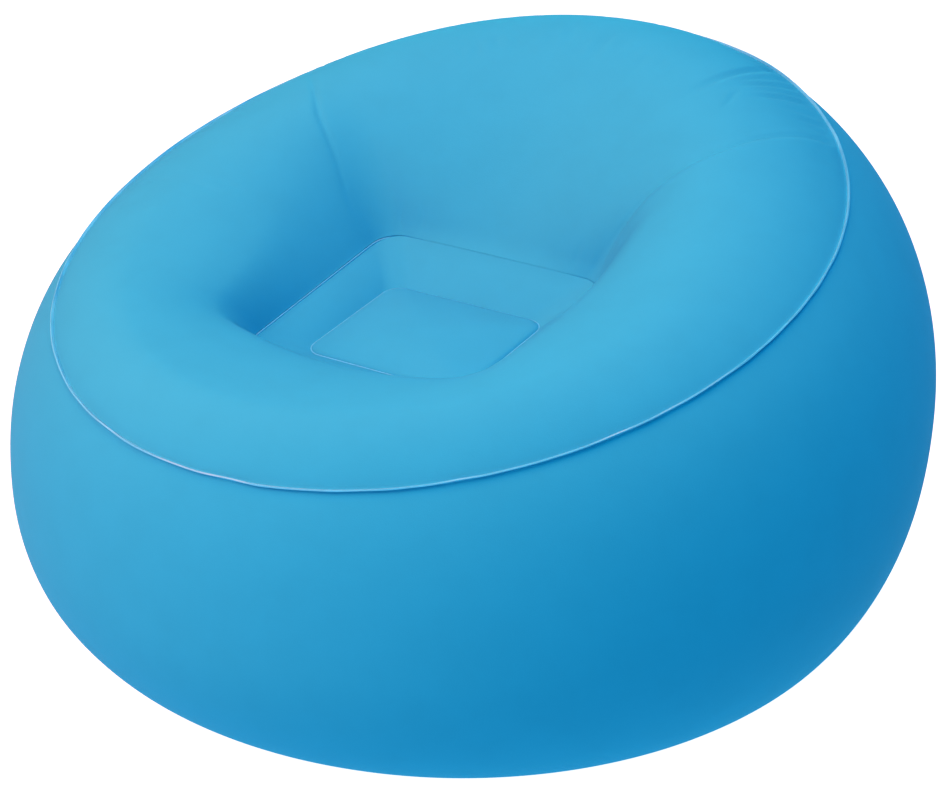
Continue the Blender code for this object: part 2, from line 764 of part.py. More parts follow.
def make_insert(frame):
    """Part that screws out of the neck, with its notched rim and the spider across its bore."""
    profile = [
        (RIM_RADIUS, RIM_TOP),
        (RIM_RADIUS, RIM_BOTTOM),
        (BARREL_RADIUS, RIM_BOTTOM),
        (BARREL_RADIUS, -INSERT_DEPTH),
        (INSERT_BORE_RADIUS, -INSERT_DEPTH),
        (INSERT_BORE_RADIUS, RIM_TOP),
    ]
    insert = turned("valve_insert", profile, HARD, True)
    on_valve(insert, frame)
    length = 2 * (INSERT_BORE_RADIUS + SPIDER_BITE)
    centre = (0, 0, -INSERT_DEPTH + SPIDER_BAR_HEIGHT / 2 + GAP)
    sizes = {
        "spider_bar_x": (length, SPIDER_BAR_WIDTH, SPIDER_BAR_HEIGHT),
        "spider_bar_y": (SPIDER_BAR_WIDTH, length, SPIDER_BAR_HEIGHT),
    }
    for name, size in sizes.items():
        bar = add_cutter(name, box_mesh(name, size, centre))
        on_valve(bar, frame)
        add_boolean(insert, bar, "UNION")
    for number in range(RIM_NOTCHES):
        angle = 2 * math.pi * (number + 1 / 2) / RIM_NOTCHES
        x = RIM_RADIUS * math.cos(angle)
        y = RIM_RADIUS * math.sin(angle)
        name = f"rim_notch_{number + 1}"
        low = RIM_BOTTOM - CUT_OVERRUN
        high = RIM_TOP + CUT_OVERRUN
        notch = add_cutter(name, disc_mesh(name, NOTCH_RADIUS, low, high, NOTCH_SIDES, x, y))
        on_valve(notch, frame)
        add_boolean(insert, notch, "DIFFERENCE")


def make_flap(frame):
    """Rubber flap under the spider, with its origin on the edge that it swings about."""
    mesh = disc_mesh("check_flap", FLAP_RADIUS, -FLAP_THICKNESS, 0, TURNED_STEPS, 0, FLAP_RADIUS)
    on_valve(add_object("check_flap", mesh, RUBBER), frame, (0, -FLAP_RADIUS, FLAP_TOP))


def make_stopper(frame):
    """Plug with its cap and pull tab, with its origin where the strap bends."""
    plug_radius = INSERT_BORE_RADIUS - PLUG_CLEARANCE
    plug_bottom = CAP_BOTTOM - PLUG_DEPTH
    profile = [
        (0, CAP_TOP),
        (CAP_RADIUS, CAP_TOP),
        (CAP_RADIUS, CAP_BOTTOM),
        (plug_radius, CAP_BOTTOM),
        (plug_radius, plug_bottom),
        (plug_radius - PLUG_WALL, plug_bottom),
        (plug_radius - PLUG_WALL, CAP_BOTTOM),
        (0, CAP_BOTTOM),
    ]
    hinge = (0, -HINGE_DISTANCE, HINGE_HEIGHT)
    moved = []
    for radius, height in profile:
        moved.append((radius, height - HINGE_HEIGHT))
    stopper = turned("stopper", moved, HARD, False)
    on_valve(stopper, frame, hinge)
    middle = bpy.data.objects.new("stopper_middle", None)
    CHAIR.objects.link(middle)
    on_valve(middle, frame, (0, 0, HINGE_HEIGHT))
    stopper.modifiers["turn"].object = middle
    for vertex in stopper.data.vertices:
        vertex.co.y += HINGE_DISTANCE
    size = (TAB_WIDTH, TAB_LENGTH + CAP_RADIUS / 2, TAB_THICKNESS)
    centre = (0, HINGE_DISTANCE + CAP_RADIUS / 2 + size[1] / 2, 0)
    tab = add_cutter("pull_tab", box_mesh("pull_tab", size, centre))
    on_valve(tab, frame, hinge)
    add_boolean(stopper, tab, "UNION")


def make_strap(frame, ring_radius, ring_height):
    """Bent strap from the ring, round the rim's outside, to the stopper's cap."""
    path = [
        (ring_radius + GAP, ring_height),
        (HINGE_DISTANCE, ring_height),
        (HINGE_DISTANCE, HINGE_HEIGHT),
        (CAP_RADIUS + GAP, HINGE_HEIGHT),
    ]
    left = [Vector((-STRAP_WIDTH / 2, -reach, height)) for reach, height in path]
    right = [Vector((STRAP_WIDTH / 2, -reach, height)) for reach, height in path]
    strap = loft("stopper_strap", [left, right], HARD, STRAP_THICKNESS, 0, closed=False)
    on_valve(strap, frame)


def make_valve():
    """The valve's pieces, all carried by one frame on the side skin."""
    frame = bpy.data.objects.new("valve_frame", None)
    CHAIR.objects.link(frame)
    frame.matrix_world = valve_matrix()
    make_flange(frame)
    make_neck(frame)
    make_gasket(frame)
    ring_radius, ring_height = make_strap_ring(frame)
    make_insert(frame)
    make_flap(frame)
    make_stopper(frame)
    make_strap(frame, ring_radius, ring_height)


make_top_skin()
make_pocket_band()
make_seat_floor()
make_side_skin()
make_base_panel()
make_perimeter_weld()
make_band_weld()
make_floor_weld()
make_base_weld()
make_webs()
make_valve()
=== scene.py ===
"""Looks of the inflatable armchair: its blown-up flocked panels with their puckers and creases, the
raised weld fin, the seat pocket, the valve, and the studio that it stands in.

Metres, +Z up. The chair faces -Y and stands on z = 0, with the origin under its middle.
A turn is an angle round the chair, measured from the back (+Y) towards +X.
"""

import json
import logging
import math
import random
from collections.abc import Callable, Iterable
from dataclasses import dataclass, field
from enum import Enum

import bmesh
import bpy
import numpy as np
from mathutils import Matrix, Vector, noise

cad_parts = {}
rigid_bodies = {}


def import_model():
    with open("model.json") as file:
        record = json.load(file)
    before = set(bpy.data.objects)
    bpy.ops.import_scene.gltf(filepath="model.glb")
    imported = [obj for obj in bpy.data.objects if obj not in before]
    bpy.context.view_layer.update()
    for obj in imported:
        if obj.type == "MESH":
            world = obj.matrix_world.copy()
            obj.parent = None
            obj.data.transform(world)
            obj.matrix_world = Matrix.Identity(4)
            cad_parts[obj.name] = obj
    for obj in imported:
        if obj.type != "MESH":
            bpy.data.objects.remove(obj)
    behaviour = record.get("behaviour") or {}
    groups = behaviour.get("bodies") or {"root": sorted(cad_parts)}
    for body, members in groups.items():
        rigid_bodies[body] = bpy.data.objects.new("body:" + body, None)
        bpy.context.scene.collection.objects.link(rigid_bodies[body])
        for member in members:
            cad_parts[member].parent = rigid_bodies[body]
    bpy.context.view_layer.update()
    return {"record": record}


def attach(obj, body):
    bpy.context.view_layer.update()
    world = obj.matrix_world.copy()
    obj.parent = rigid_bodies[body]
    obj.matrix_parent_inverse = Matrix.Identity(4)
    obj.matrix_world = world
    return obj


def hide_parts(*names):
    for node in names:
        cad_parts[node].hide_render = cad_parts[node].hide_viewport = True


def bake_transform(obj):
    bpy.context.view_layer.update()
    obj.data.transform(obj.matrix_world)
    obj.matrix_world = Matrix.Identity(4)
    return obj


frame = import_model()

LOG = logging.getLogger("armchair")
MILLIMETRE = 0.001
FULL_TURN = 2 * math.pi
QUARTER_TURN = math.pi / 2
MERGE_DISTANCE = 0.01 * MILLIMETRE
TINY = 1e-9
TURN_STEP = 1e-3
SHARE_STEP = 1e-4
HALVINGS = 40
ROUNDED_FROM = math.radians(40)

Array = np.ndarray
Colour = tuple[float, float, float]
Stops = Iterable[tuple[float, Colour]]


class Body(Enum):
    """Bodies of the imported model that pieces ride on."""

    CHAIR = "chair"
    STRAP_CARRIER = "strap_carrier"
    INSERT = "insert"
    FLAP = "flap"
    PLUG = "plug"


class Slot(Enum):
    """Material slots of the record."""

    FLOCKED_SHEET = "flocked_sheet"
    WELD_SEAM = "weld_seam"
    INNER_SHEET = "inner_sheet"
    VALVE_PLASTIC = "valve_plastic"
    VALVE_RUBBER = "valve_rubber"


# Finishes


class ShaderTree:
    """Nodes of one material, with a short call for each kind that the finishes use."""

    def __init__(self, name: str) -> None:
        """Start a Principled material.

        Args:
            name: Name of the material.
        """
        self.material = bpy.data.materials.new(name)
        self.material.use_nodes = True
        self.tree = self.material.node_tree
        self.surface = self.tree.nodes["Principled BSDF"]
        self.place = self.tree.nodes.new("ShaderNodeTexCoord").outputs["Object"]

    def set_sockets(self, values: dict[str, float | Colour]) -> None:
        """Set plain values on the shader's own sockets.

        Args:
            values: Value of each named socket; a colour has three numbers.
        """
        for name, value in values.items():
            colour = isinstance(value, tuple)
            self.surface.inputs[name].default_value = (*value, 1) if colour else value

    def noise(self, period: float, detail: float = 2, roughness: float = 0.5) -> bpy.types.NodeSocket:
        """Add a noise pattern on the object's own coordinates.

        Args:
            period: Size of the pattern, in metres.
            detail: Number of finer layers on top.
            roughness: Strength of the finer layers.

        Returns:
            The pattern's value, from 0 to 1.
        """
        node = self.tree.nodes.new("ShaderNodeTexNoise")
        node.inputs["Scale"].default_value = 1 / period
        node.inputs["Detail"].default_value = detail
        node.inputs["Roughness"].default_value = roughness
        self.tree.links.new(self.place, node.inputs["Vector"])
        return node.outputs["Fac"]

    def ramp(self, value: bpy.types.NodeSocket, stops: Stops) -> bpy.types.NodeSocket:
        """Turn a value into a colour.

        Args:
            value: Value to read.
            stops: Place, from 0 to 1, and colour of each stop.

        Returns:
            The colour.
        """
        node = self.tree.nodes.new("ShaderNodeValToRGB")
        elements = node.color_ramp.elements
        stops = list(stops)
        while len(elements) < len(stops):
            elements.new(1)
        for element, (place, colour) in zip(elements, stops):
            element.position = place
            element.color = (*colour, 1)
        self.tree.links.new(value, node.inputs["Fac"])
        return node.outputs["Color"]

    def bump(
        self,
        height: bpy.types.NodeSocket,
        rise: float,
        strength: float = 1,
        below: bpy.types.NodeSocket | None = None,
    ) -> bpy.types.NodeSocket:
        """Raise the surface by a pattern.

        Args:
            height: Pattern's value, from 0 to 1.
            rise: Height of the pattern, in metres.
            strength: How much of it shows.
            below: Normal of the layer that this one lies on, if any.

        Returns:
            The new normal.
        """
        node = self.tree.nodes.new("ShaderNodeBump")
        node.inputs["Distance"].default_value = rise
        node.inputs["Strength"].default_value = strength
        self.tree.links.new(height, node.inputs["Height"])
        if below is not None:
            self.tree.links.new(below, node.inputs["Normal"])
        return node.outputs["Normal"]

    def feed(self, socket: str, source: bpy.types.NodeSocket) -> None:
        """Feed a pattern into one of the shader's sockets."""
        self.tree.links.new(source, self.surface.inputs[socket])


def shaded(colour: Colour, share: float) -> Colour:
    """Make a colour lighter (share over 1) or darker (share under 1)."""
    return tuple(min(part * share, 1.0) for part in colour)


@dataclass(frozen=True)
class FlockFinish:
    """Velvety flocked sheet: a matte nap with faint brushed patches and a soft sheen."""

    name: str = "flock_finish"
    colour: Colour = (0.020, 0.360, 0.620)
    patch_period: float = 0.055
    patch_detail: float = 3
    patch_roughness: float = 0.6
    patch_shares: tuple[float, float, float] = (0.985, 1.0, 1.012)
    patch_stops: tuple[float, float, float] = (0.30, 0.5, 0.70)
    brush_period: float = 0.009
    brush_rise: float = 0.05 * MILLIMETRE
    nap_period: float = 0.0011
    nap_detail: float = 1
    nap_rise: float = 0.16 * MILLIMETRE
    nap_strength: float = 0.45
    roughness: float = 0.75
    specular: float = 0.06
    specular_tint: Colour = (0.15, 0.80, 1.0)
    sheen: float = 0.03
    sheen_roughness: float = 0.45
    sheen_tint: Colour = (0.10, 0.75, 1.0)

    def build(self) -> bpy.types.Material:
        """Make the material."""
        shader = ShaderTree(self.name)
        shader.set_sockets(
            {
                "Roughness": self.roughness,
                "Specular IOR Level": self.specular,
                "Specular Tint": self.specular_tint,
                "Sheen Weight": self.sheen,
                "Sheen Roughness": self.sheen_roughness,
                "Sheen Tint": self.sheen_tint,
            }
        )
        shades = [shaded(self.colour, share) for share in self.patch_shares]
        patches = shader.noise(self.patch_period, self.patch_detail, self.patch_roughness)
        shader.feed("Base Color", shader.ramp(patches, zip(self.patch_stops, shades)))
        brushed = shader.bump(shader.noise(self.brush_period), self.brush_rise)
        nap = shader.noise(self.nap_period, self.nap_detail)
        shader.feed("Normal", shader.bump(nap, self.nap_rise, self.nap_strength, brushed))
        return shader.material


@dataclass(frozen=True)
class SheetFinish:
    """Bare sheet where the flock is melted away or left off: satin, with fine press marks."""

    name: str
    colour: Colour
    roughness: float = 0.5
    specular: float = 0.5
    grain_period: float = 0.0035
    grain_rise: float = 0.08 * MILLIMETRE
    grain_detail: float = 2
    cloud_period: float = 0.03
    cloud_detail: float = 2
    cloud_share: float = 0.9
    cloud_stops: tuple[float, float] = (0.3, 0.7)

    def build(self) -> bpy.types.Material:
        """Make the material."""
        shader = ShaderTree(self.name)
        shader.set_sockets({"Roughness": self.roughness, "Specular IOR Level": self.specular})
        shades = (shaded(self.colour, self.cloud_share), self.colour)
        clouds = shader.noise(self.cloud_period, self.cloud_detail)
        shader.feed("Base Color", shader.ramp(clouds, zip(self.cloud_stops, shades)))
        grain = shader.noise(self.grain_period, self.grain_detail)
        shader.feed("Normal", shader.bump(grain, self.grain_rise))
        return shader.material


@dataclass(frozen=True)
class MouldedFinish(SheetFinish):
    """Moulded plastic or rubber with a fine eroded grain."""

    grain_period: float = 0.0006
    grain_rise: float = 0.02 * MILLIMETRE
    grain_detail: float = 3
    cloud_period: float = 0.006
    cloud_detail: float = 4
    cloud_share: float = 0.88
    cloud_stops: tuple[float, float] = (0.35, 0.65)


@dataclass(frozen=True)
class FloorFinish:
    """Pale studio floor, which glows a little so that it stays white."""

    name: str = "floor_finish"
    colour: Colour = (0.15, 0.15, 0.15)
    roughness: float = 0.9
    glow: Colour = (0.70, 0.70, 0.72)

    def build(self) -> bpy.types.Material:
        """Make the material."""
        shader = ShaderTree(self.name)
        shader.set_sockets(
            {
                "Base Color": self.colour,
                "Roughness": self.roughness,
                "Specular IOR Level": 0.0,
                "Emission Color": self.glow,
                "Emission Strength": 1.0,
            }
        )
        return shader.material


SLOT_FINISHES = {
    Slot.FLOCKED_SHEET: FlockFinish(),
    Slot.WELD_SEAM: SheetFinish("weld_finish", (0.040, 0.480, 0.780), specular=0.35),
    Slot.INNER_SHEET: SheetFinish("inner_finish", (0.18, 0.42, 0.60)),
    Slot.VALVE_PLASTIC: MouldedFinish("plastic_finish", (0.012, 0.150, 0.400), roughness=0.35),
    Slot.VALVE_RUBBER: MouldedFinish("rubber_finish", (0.060, 0.060, 0.065), roughness=0.7),
}


class Finishes:
    """The chair's materials, one for each slot."""

    def __init__(self) -> None:
        """Make the materials."""
        self.materials = {slot: finish.build() for slot, finish in SLOT_FINISHES.items()}

    def of(self, slot: Slot) -> bpy.types.Material:
        """Material of a slot."""
        return self.materials[slot]


# Shape of the chair


@dataclass(frozen=True)
class Station:
    """A size given at the back, the side and the front, and eased round the chair between them."""

    back: float
    side: float
    front: float

    def at(self, turn: Array) -> Array:
        """Size at each turn.

        Args:
            turn: Turns.

        Returns:
            The sizes.
        """
        middle = (self.back + self.front) / 2
        level = (middle + self.side) / 2
        first = (self.back - self.front) / 2 * np.cos(turn)
        return level + first + (middle - self.side) / 2 * np.cos(2 * turn)


def at_turn(radius: Array, turn: Array, height: Array) -> Array:
    """Points from their distance to the axis, their turn and their height."""
    parts = np.broadcast_arrays(radius * np.sin(turn), radius * np.cos(turn), height)
    return np.stack(parts, axis=-1)


def unit(vectors: Array) -> Array:
    """Vectors scaled to a length of one."""
    return vectors / np.maximum(np.linalg.norm(vectors, axis=-1, keepdims=True), TINY)


def from_back(turn: Array) -> Array:
    """Turn from the middle of the back, between minus and plus half a turn."""
    return np.mod(turn + math.pi, FULL_TURN) - math.pi


def turn_of(points: Array) -> Array:
    """Turn of each point."""
    return np.arctan2(points[..., 0], points[..., 1])


def with_row(points: Array, row: Array, number: int, moved: Array) -> Array:
    """Move one row of a grid.

    Args:
        points: Points of the grid.
        row: Row of each point.
        number: The row to move.
        moved: Where its points go.

    Returns:
        The points.
    """
    return np.where((row == number)[..., None], moved, points)


def smooth_step(value: Array) -> Array:
    """Ease a value from 0 to 1, level at both ends."""
    held = np.clip(value, 0, 1)
    return held * held * (3 - 2 * held)


def edge_fade(level: Array, first: float, last: float) -> Array:
    """Ease from 0 at a panel's two edges to 1.

    Args:
        level: Places across the panel, from -1 to 1.
        first: Reach of the fade at level -1.
        last: Reach of the fade at level 1.

    Returns:
        The fade at each place.
    """
    return smooth_step((level + 1) / first) * smooth_step((1 - level) / last)


@dataclass(frozen=True)
class RoundedSquare:
    """A round-cornered rectangle on a plane that is tilted up towards the back."""

    half_width: float
    half_length: float
    corner: float
    centre_y: float
    height: float
    tilt: float

    def outline(self, share: Array) -> tuple[Array, Array]:
        """Place on the outline, from the middle of the back edge towards +X.

        Args:
            share: Share of the way round.

        Returns:
            Distances from the middle along X and along Y.
        """
        straight_x = self.half_width - self.corner
        straight_y = self.half_length - self.corner
        arc = self.corner * QUARTER_TURN
        half_way = 2 * (straight_x + straight_y + arc)
        share = np.mod(share, 1)
        walk = 2 * half_way * np.minimum(share, 1 - share)
        first = (walk - straight_x) / self.corner
        second = (walk - straight_x - arc - 2 * straight_y) / self.corner
        ranges = [
            walk < straight_x,
            walk < straight_x + arc,
            walk < straight_x + arc + 2 * straight_y,
            walk < half_way - straight_x,
        ]
        x = np.select(
            ranges,
            [
                walk,
                straight_x + self.corner * np.sin(first),
                self.half_width,
                straight_x + self.corner * np.cos(second),
            ],
            half_way - walk,
        )
        y = np.select(
            ranges,
            [
                self.half_length,
                straight_y + self.corner * np.cos(first),
                straight_y - (walk - straight_x - arc),
                -straight_y - self.corner * np.sin(second),
            ],
            -self.half_length,
        )
        return np.where(share > 1 / 2, -x, x), y

    def points(self, share: Array, size: Array | float = 1.0) -> Array:
        """Points on the tilted plane.

        Args:
            share: Share of the way round.
            size: Scale of the outline, 0 at the middle.

        Returns:
            The points.
        """
        x, y = self.outline(share)
        along = y * size
        height = self.height + along * math.tan(self.tilt)
        return np.stack([x * size, self.centre_y + along, height], axis=-1)

    def outwards(self, share: Array) -> Array:
        """Directions out of the outline, level along X and along the tilted plane.

        Args:
            share: Share of the way round.

        Returns:
            The directions.
        """
        x0, y0 = self.outline(share - SHARE_STEP)
        x1, y1 = self.outline(share + SHARE_STEP)
        across = np.stack([y0 - y1, x1 - x0, np.zeros_like(x0)], axis=-1)
        across[..., 2] = across[..., 1] * math.tan(self.tilt)
        return unit(across)

    def normal(self) -> Array:
        """Direction out of the tilted plane, upwards."""
        return np.array([0.0, -math.sin(self.tilt), math.cos(self.tilt)])

    def reach(self, turn: Array, limit: Array) -> Array:
        """Distance from the chair's axis to the outline, found by halving.

        Args:
            turn: Turns to look along.
            limit: Distances that are surely outside.

        Returns:
            The distances.
        """
        near = np.zeros_like(turn)
        far = np.array(limit, dtype=float)
        for _ in range(HALVINGS):
            middle = (near + far) / 2
            over_x = np.abs(middle * np.sin(turn)) - (self.half_width - self.corner)
            over_y = np.abs(middle * np.cos(turn) - self.centre_y) - (self.half_length - self.corner)
            beyond = np.hypot(np.maximum(over_x, 0), np.maximum(over_y, 0))
            inside = beyond + np.minimum(np.maximum(over_x, over_y), 0) < self.corner
            near = np.where(inside, middle, near)
            far = np.where(inside, far, middle)
        return (near + far) / 2


@dataclass(frozen=True)
class DrumShape:
    """Sizes of the blown-up chair, and the surfaces that follow from them."""

    radius: float = 0.560
    base_inset: float = 0.180
    gap: float = 0.3 * MILLIMETRE
    equator: Station = Station(0.386, 0.265, 0.192)
    crown: Station = Station(0.660, 0.553, 0.440)
    crown_inset: Station = Station(0.212, 0.230, 0.113)
    seam: Station = Station(math.radians(66.7), math.radians(58.2), math.radians(51.2))
    seam_swing: float = math.radians(1.5)
    back_sag: float = math.radians(4.5)
    back_sag_half_turn: float = math.radians(27)
    lip_depth: float = 0.057
    band_half_width: float = 0.161
    band_half_length: float = 0.147
    band_corner: float = 0.033
    band_centre_y: float = -0.093
    band_tilt: float = math.radians(9.9)
    flare_side: float = 0.050
    flare_end: float = 0.056
    floor_corner: float = 0.022
    floor_shift_y: float = -0.002
    floor_drop: float = 0.029
    floor_tilt: float = math.radians(7.1)
    crown_drift_share: float = 0.32
    foot_start: float = 0.68
    back_fold_share: float = 0.03
    back_fold_start: float = math.radians(58)
    back_fold_fade: float = math.radians(22)
    fillet_reach: float = 0.026
    fillet_depth: float = 4.2 * MILLIMETRE

    @property
    def base_radius(self) -> float:
        """Radius of the flat base."""
        return self.radius - self.base_inset

    @property
    def band(self) -> RoundedSquare:
        """Outline where the pocket's band starts."""
        front = self.crown.front - self.lip_depth
        height = front + self.band_half_length * math.tan(self.band_tilt)
        return RoundedSquare(
            self.band_half_width,
            self.band_half_length,
            self.band_corner,
            self.band_centre_y,
            height,
            self.band_tilt,
        )

    @property
    def floor(self) -> RoundedSquare:
        """Outline of the seat floor."""
        return RoundedSquare(
            self.band_half_width - self.flare_side,
            self.band_half_length - self.flare_end,
            self.floor_corner,
            self.band_centre_y + self.floor_shift_y,
            self.band.height - self.floor_drop,
            self.floor_tilt,
        )

    def crown_radius(self, turn: Array) -> Array:
        """Distance of the crown from the axis."""
        return self.radius - self.crown_inset.at(turn)

    def lower_wall(self, turn: Array, angle: Array) -> Array:
        """Side wall from the base to its widest line.

        Args:
            turn: Turns.
            angle: Angles up the wall, 0 at the base and a quarter turn at the widest line.

        Returns:
            The points.
        """
        start = self.base_radius + self.gap
        radius = start + (self.radius - start) * np.sin(angle)
        return at_turn(radius, turn, self.equator.at(turn) * (1 - np.cos(angle)))

    def upper_wall(self, turn: Array, angle: Array) -> Array:
        """Outer wall from its widest line to the crown.

        Args:
            turn: Turns.
            angle: Angles up the wall, 0 at the widest line and a quarter turn at the crown.

        Returns:
            The points.
        """
        crown_radius = self.crown_radius(turn)
        equator = self.equator.at(turn)
        radius = crown_radius + (self.radius - crown_radius) * np.cos(angle)
        return at_turn(radius, turn, equator + (self.crown.at(turn) - equator) * np.sin(angle))

    def seam_angle(self, turn: Array) -> Array:
        """Angle of the perimeter seam up the outer wall, which hangs a little at the back."""
        sag = self.back_sag * np.exp(-((from_back(turn) / self.back_sag_half_turn) ** 4))
        return self.seam.at(turn) + self.seam_swing * np.cos(3 * turn) - sag

    def seam_slope(self, turn: Array) -> tuple[Array, Array]:
        """Metres inwards and upwards for each radian of the wall's angle, at the seam."""
        angle = self.seam_angle(turn)
        inwards = (self.radius - self.crown_radius(turn)) * np.sin(angle)
        return inwards, (self.crown.at(turn) - self.equator.at(turn)) * np.cos(angle)

    def seam_frame(self, turn: Array) -> tuple[Array, Array, Array]:
        """Perimeter seam.

        Args:
            turn: Turns to look at.

        Returns:
            The seam's points, and the directions up the wall and out of it.
        """
        inwards, rise = self.seam_slope(turn)
        points = self.upper_wall(turn, self.seam_angle(turn))
        return points, unit(at_turn(-inwards, turn, rise)), unit(at_turn(rise, turn, inwards))

    def seam_margin_angle(self, turn: Array, margin: float) -> Array:
        """Angle that a margin along the wall takes up at the seam."""
        return margin / np.hypot(*self.seam_slope(turn))

    def bulge(self, angle: Array) -> Array:
        """Share of the way inwards along a blown-up wall: a quarter circle with a straighter foot.

        Args:
            angle: Angles down the wall, from 0 to a quarter turn.

        Returns:
            The shares.
        """
        start = self.foot_start
        start_drop = 1 - math.sqrt(1 - start * start)
        even = (1 - start) * start / (1 - start_drop)
        rest = 1 - start_drop - even
        beyond = np.maximum(1 - np.cos(angle) - start_drop, 0)
        foot = start + (1 - start) * (np.sqrt(even * even + 4 * rest * beyond) - even) / (2 * rest)
        return np.where(beyond > 0, foot, np.sin(angle))

    def pocket_wall(self, turn: Array, angle: Array, flatness: Array | float = 0.0) -> Array:
        """Wall from the crown down to the band.

        Args:
            turn: Turns.
            angle: Angles down the wall, 0 at the crown and a quarter turn at the band.
            flatness: 0 where the wall bulges as an ellipse, 1 where it falls as a parabola.

        Returns:
            The points.
        """
        crown_radius = self.crown_radius(turn)
        band_radius = self.band.reach(turn, crown_radius)
        along = band_radius * np.cos(turn) - self.band.centre_y
        band_height = self.band.height + along * math.tan(self.band.tilt)
        bulging = self.bulge(angle)
        inwards = bulging + flatness * (math.sqrt(2) * np.sin(angle / 2) - bulging)
        radius = crown_radius - (crown_radius - band_radius) * inwards
        return at_turn(radius, turn, band_height + (self.crown.at(turn) - band_height) * np.cos(angle))

    def fold_share(self, turn: Array) -> Array:
        """Share of their full size that the folds round the seat have, which is slight at the back."""
        growth = smooth_step((np.abs(from_back(turn)) - self.back_fold_start) / self.back_fold_fade)
        return self.back_fold_share + (1 - self.back_fold_share) * growth

    def rear_fillet(self, points: Array, share: Array) -> Array:
        """Moves that round the hollow between the back and the seat, so that they flow into each other.

        Args:
            points: Points of the sheet on either side of the band's outline.
            share: Share of the way round of each point.

        Returns:
            The moves.
        """
        edge = self.band.points(share)
        distance = np.linalg.norm(points - edge, axis=-1)
        depth = np.clip(1 - distance / self.fillet_reach, 0, 1) ** 2
        share_left = (1 - self.fold_share(turn_of(edge))) / (1 - self.back_fold_share)
        depth = depth * self.fillet_depth * share_left
        into = unit(self.band.normal() - self.band.outwards(share))
        return into * depth[..., None]

    def column_turn(self, share: Array, drift: Array) -> Array:
        """Turn of a column, which drifts from an even spacing to its place on the band.

        Args:
            share: Share of the way round.
            drift: 0 for the even spacing, 1 for the place on the band.

        Returns:
            The turns.
        """
        even = FULL_TURN * share
        return even + from_back(turn_of(self.band.points(share)) - even) * drift


@dataclass(frozen=True)
class Fold:
    """Rounded edge where a sheet turns back into its weld, as a quarter of an ellipse."""

    reach: float
    height: float
    clearance: float = 0.04 * MILLIMETRE
    steps: int = 5

    def profile(self) -> list[tuple[float, float]]:
        """Places along the fold.

        Returns:
            Distance beyond the edge, and height above the weld, from the sheet's end of the fold on.
        """
        angles = [QUARTER_TURN * step / self.steps for step in range(self.steps + 1)]
        lift = self.height - self.clearance
        return [(self.reach * (1 - math.cos(a)), self.height - lift * math.sin(a)) for a in angles]


# Ways to make a mesh


def new_object(name: str, shape: bmesh.types.BMesh, material: bpy.types.Material) -> bpy.types.Object:
    """Put a bmesh into the scene as an object.

    Args:
        name: Name of the object.
        shape: The bmesh, which is freed.
        material: Its finish.

    Returns:
        The object.
    """
    mesh = bpy.data.meshes.new(name)
    shape.to_mesh(mesh)
    shape.free()
    mesh.shade_smooth()
    mesh.materials.append(material)
    thing = bpy.data.objects.new(name, mesh)
    bpy.context.scene.collection.objects.link(thing)
    return thing


def laid_grid(columns: int, rows: int, place: Callable[[Array, Array], Array]) -> bmesh.types.BMesh:
    """Make a grid that runs round the chair, and weld its two ends.

    Args:
        columns: Number of columns round the chair.
        rows: Number of rows.
        place: Gives the points for shares of the way round and shares of the way across.

    Returns:
        The bmesh.
    """
    shape = bmesh.new()
    bmesh.ops.create_grid(shape, x_segments=columns, y_segments=rows, size=1)
    flat = np.array([vertex.co for vertex in shape.verts])
    points = place((flat[:, 0] + 1) / 2, (flat[:, 1] + 1) / 2)
    for vertex, point in zip(shape.verts, points):
        vertex.co = point
    bmesh.ops.remove_doubles(shape, verts=shape.verts, dist=MERGE_DISTANCE)
    return shape


def face_away(shape: bmesh.types.BMesh, inside: Callable[[Vector], Vector]) -> None:
    """Turn the faces so that they look away from the air behind them.

    Args:
        shape: The bmesh.
        inside: Gives a point behind the sheet for a point on it.
    """
    shape.normal_update()
    total = 0.0
    for face in shape.faces:
        centre = face.calc_center_median()
        total += face.normal.dot(centre - inside(centre)) * face.calc_area()
    if total < 0:
        bmesh.ops.reverse_faces(shape, faces=shape.faces)


def thicken(thing: bpy.types.Object, thickness: float, offset: float) -> None:
    """Give a sheet its thickness.

    Args:
        thing: The sheet.
        thickness: Thickness, in metres.
        offset: -1 to grow inwards, 0 to both sides.
    """
    solidify = thing.modifiers.new("thickness", "SOLIDIFY")
    solidify.thickness = thickness
    solidify.offset = offset


def round_edges(thing: bpy.types.Object, width: float, segments: int = 2) -> None:
    """Round the sharp edges of a piece.

    Args:
        thing: The piece.
        width: Width of the rounding, in metres.
        segments: Number of faces across it.
    """
    bevel = thing.modifiers.new("rounding", "BEVEL")
    bevel.width = width
    bevel.segments = segments
    bevel.limit_method = "ANGLE"
    bevel.angle_limit = ROUNDED_FROM
    bevel.harden_normals = True


def turned(profile: Iterable[tuple[float, float]], steps: int, closed: bool = True) -> bmesh.types.BMesh:
    """Turn a profile round the local Z axis.

    Args:
        profile: Distance from the axis and height of each corner.
        steps: Number of faces round the axis.
        closed: True for a ring, False for a solid whose profile starts and ends on the axis.

    Returns:
        The bmesh.
    """
    shape = bmesh.new()
    corners = [shape.verts.new((radius, 0, height)) for radius, height in profile]
    pairs = list(zip(corners, corners[1:] + corners[:1]))
    sides = [shape.edges.new(pair) for pair in (pairs if closed else pairs[:-1])]
    bmesh.ops.spin(
        shape,
        geom=corners + sides,
        cent=(0, 0, 0),
        axis=(0, 0, 1),
        angle=FULL_TURN,
        steps=steps,
        use_merge=True,
    )
    bmesh.ops.remove_doubles(shape, verts=shape.verts, dist=MERGE_DISTANCE)
    bmesh.ops.recalc_face_normals(shape, faces=shape.faces)
    return shape


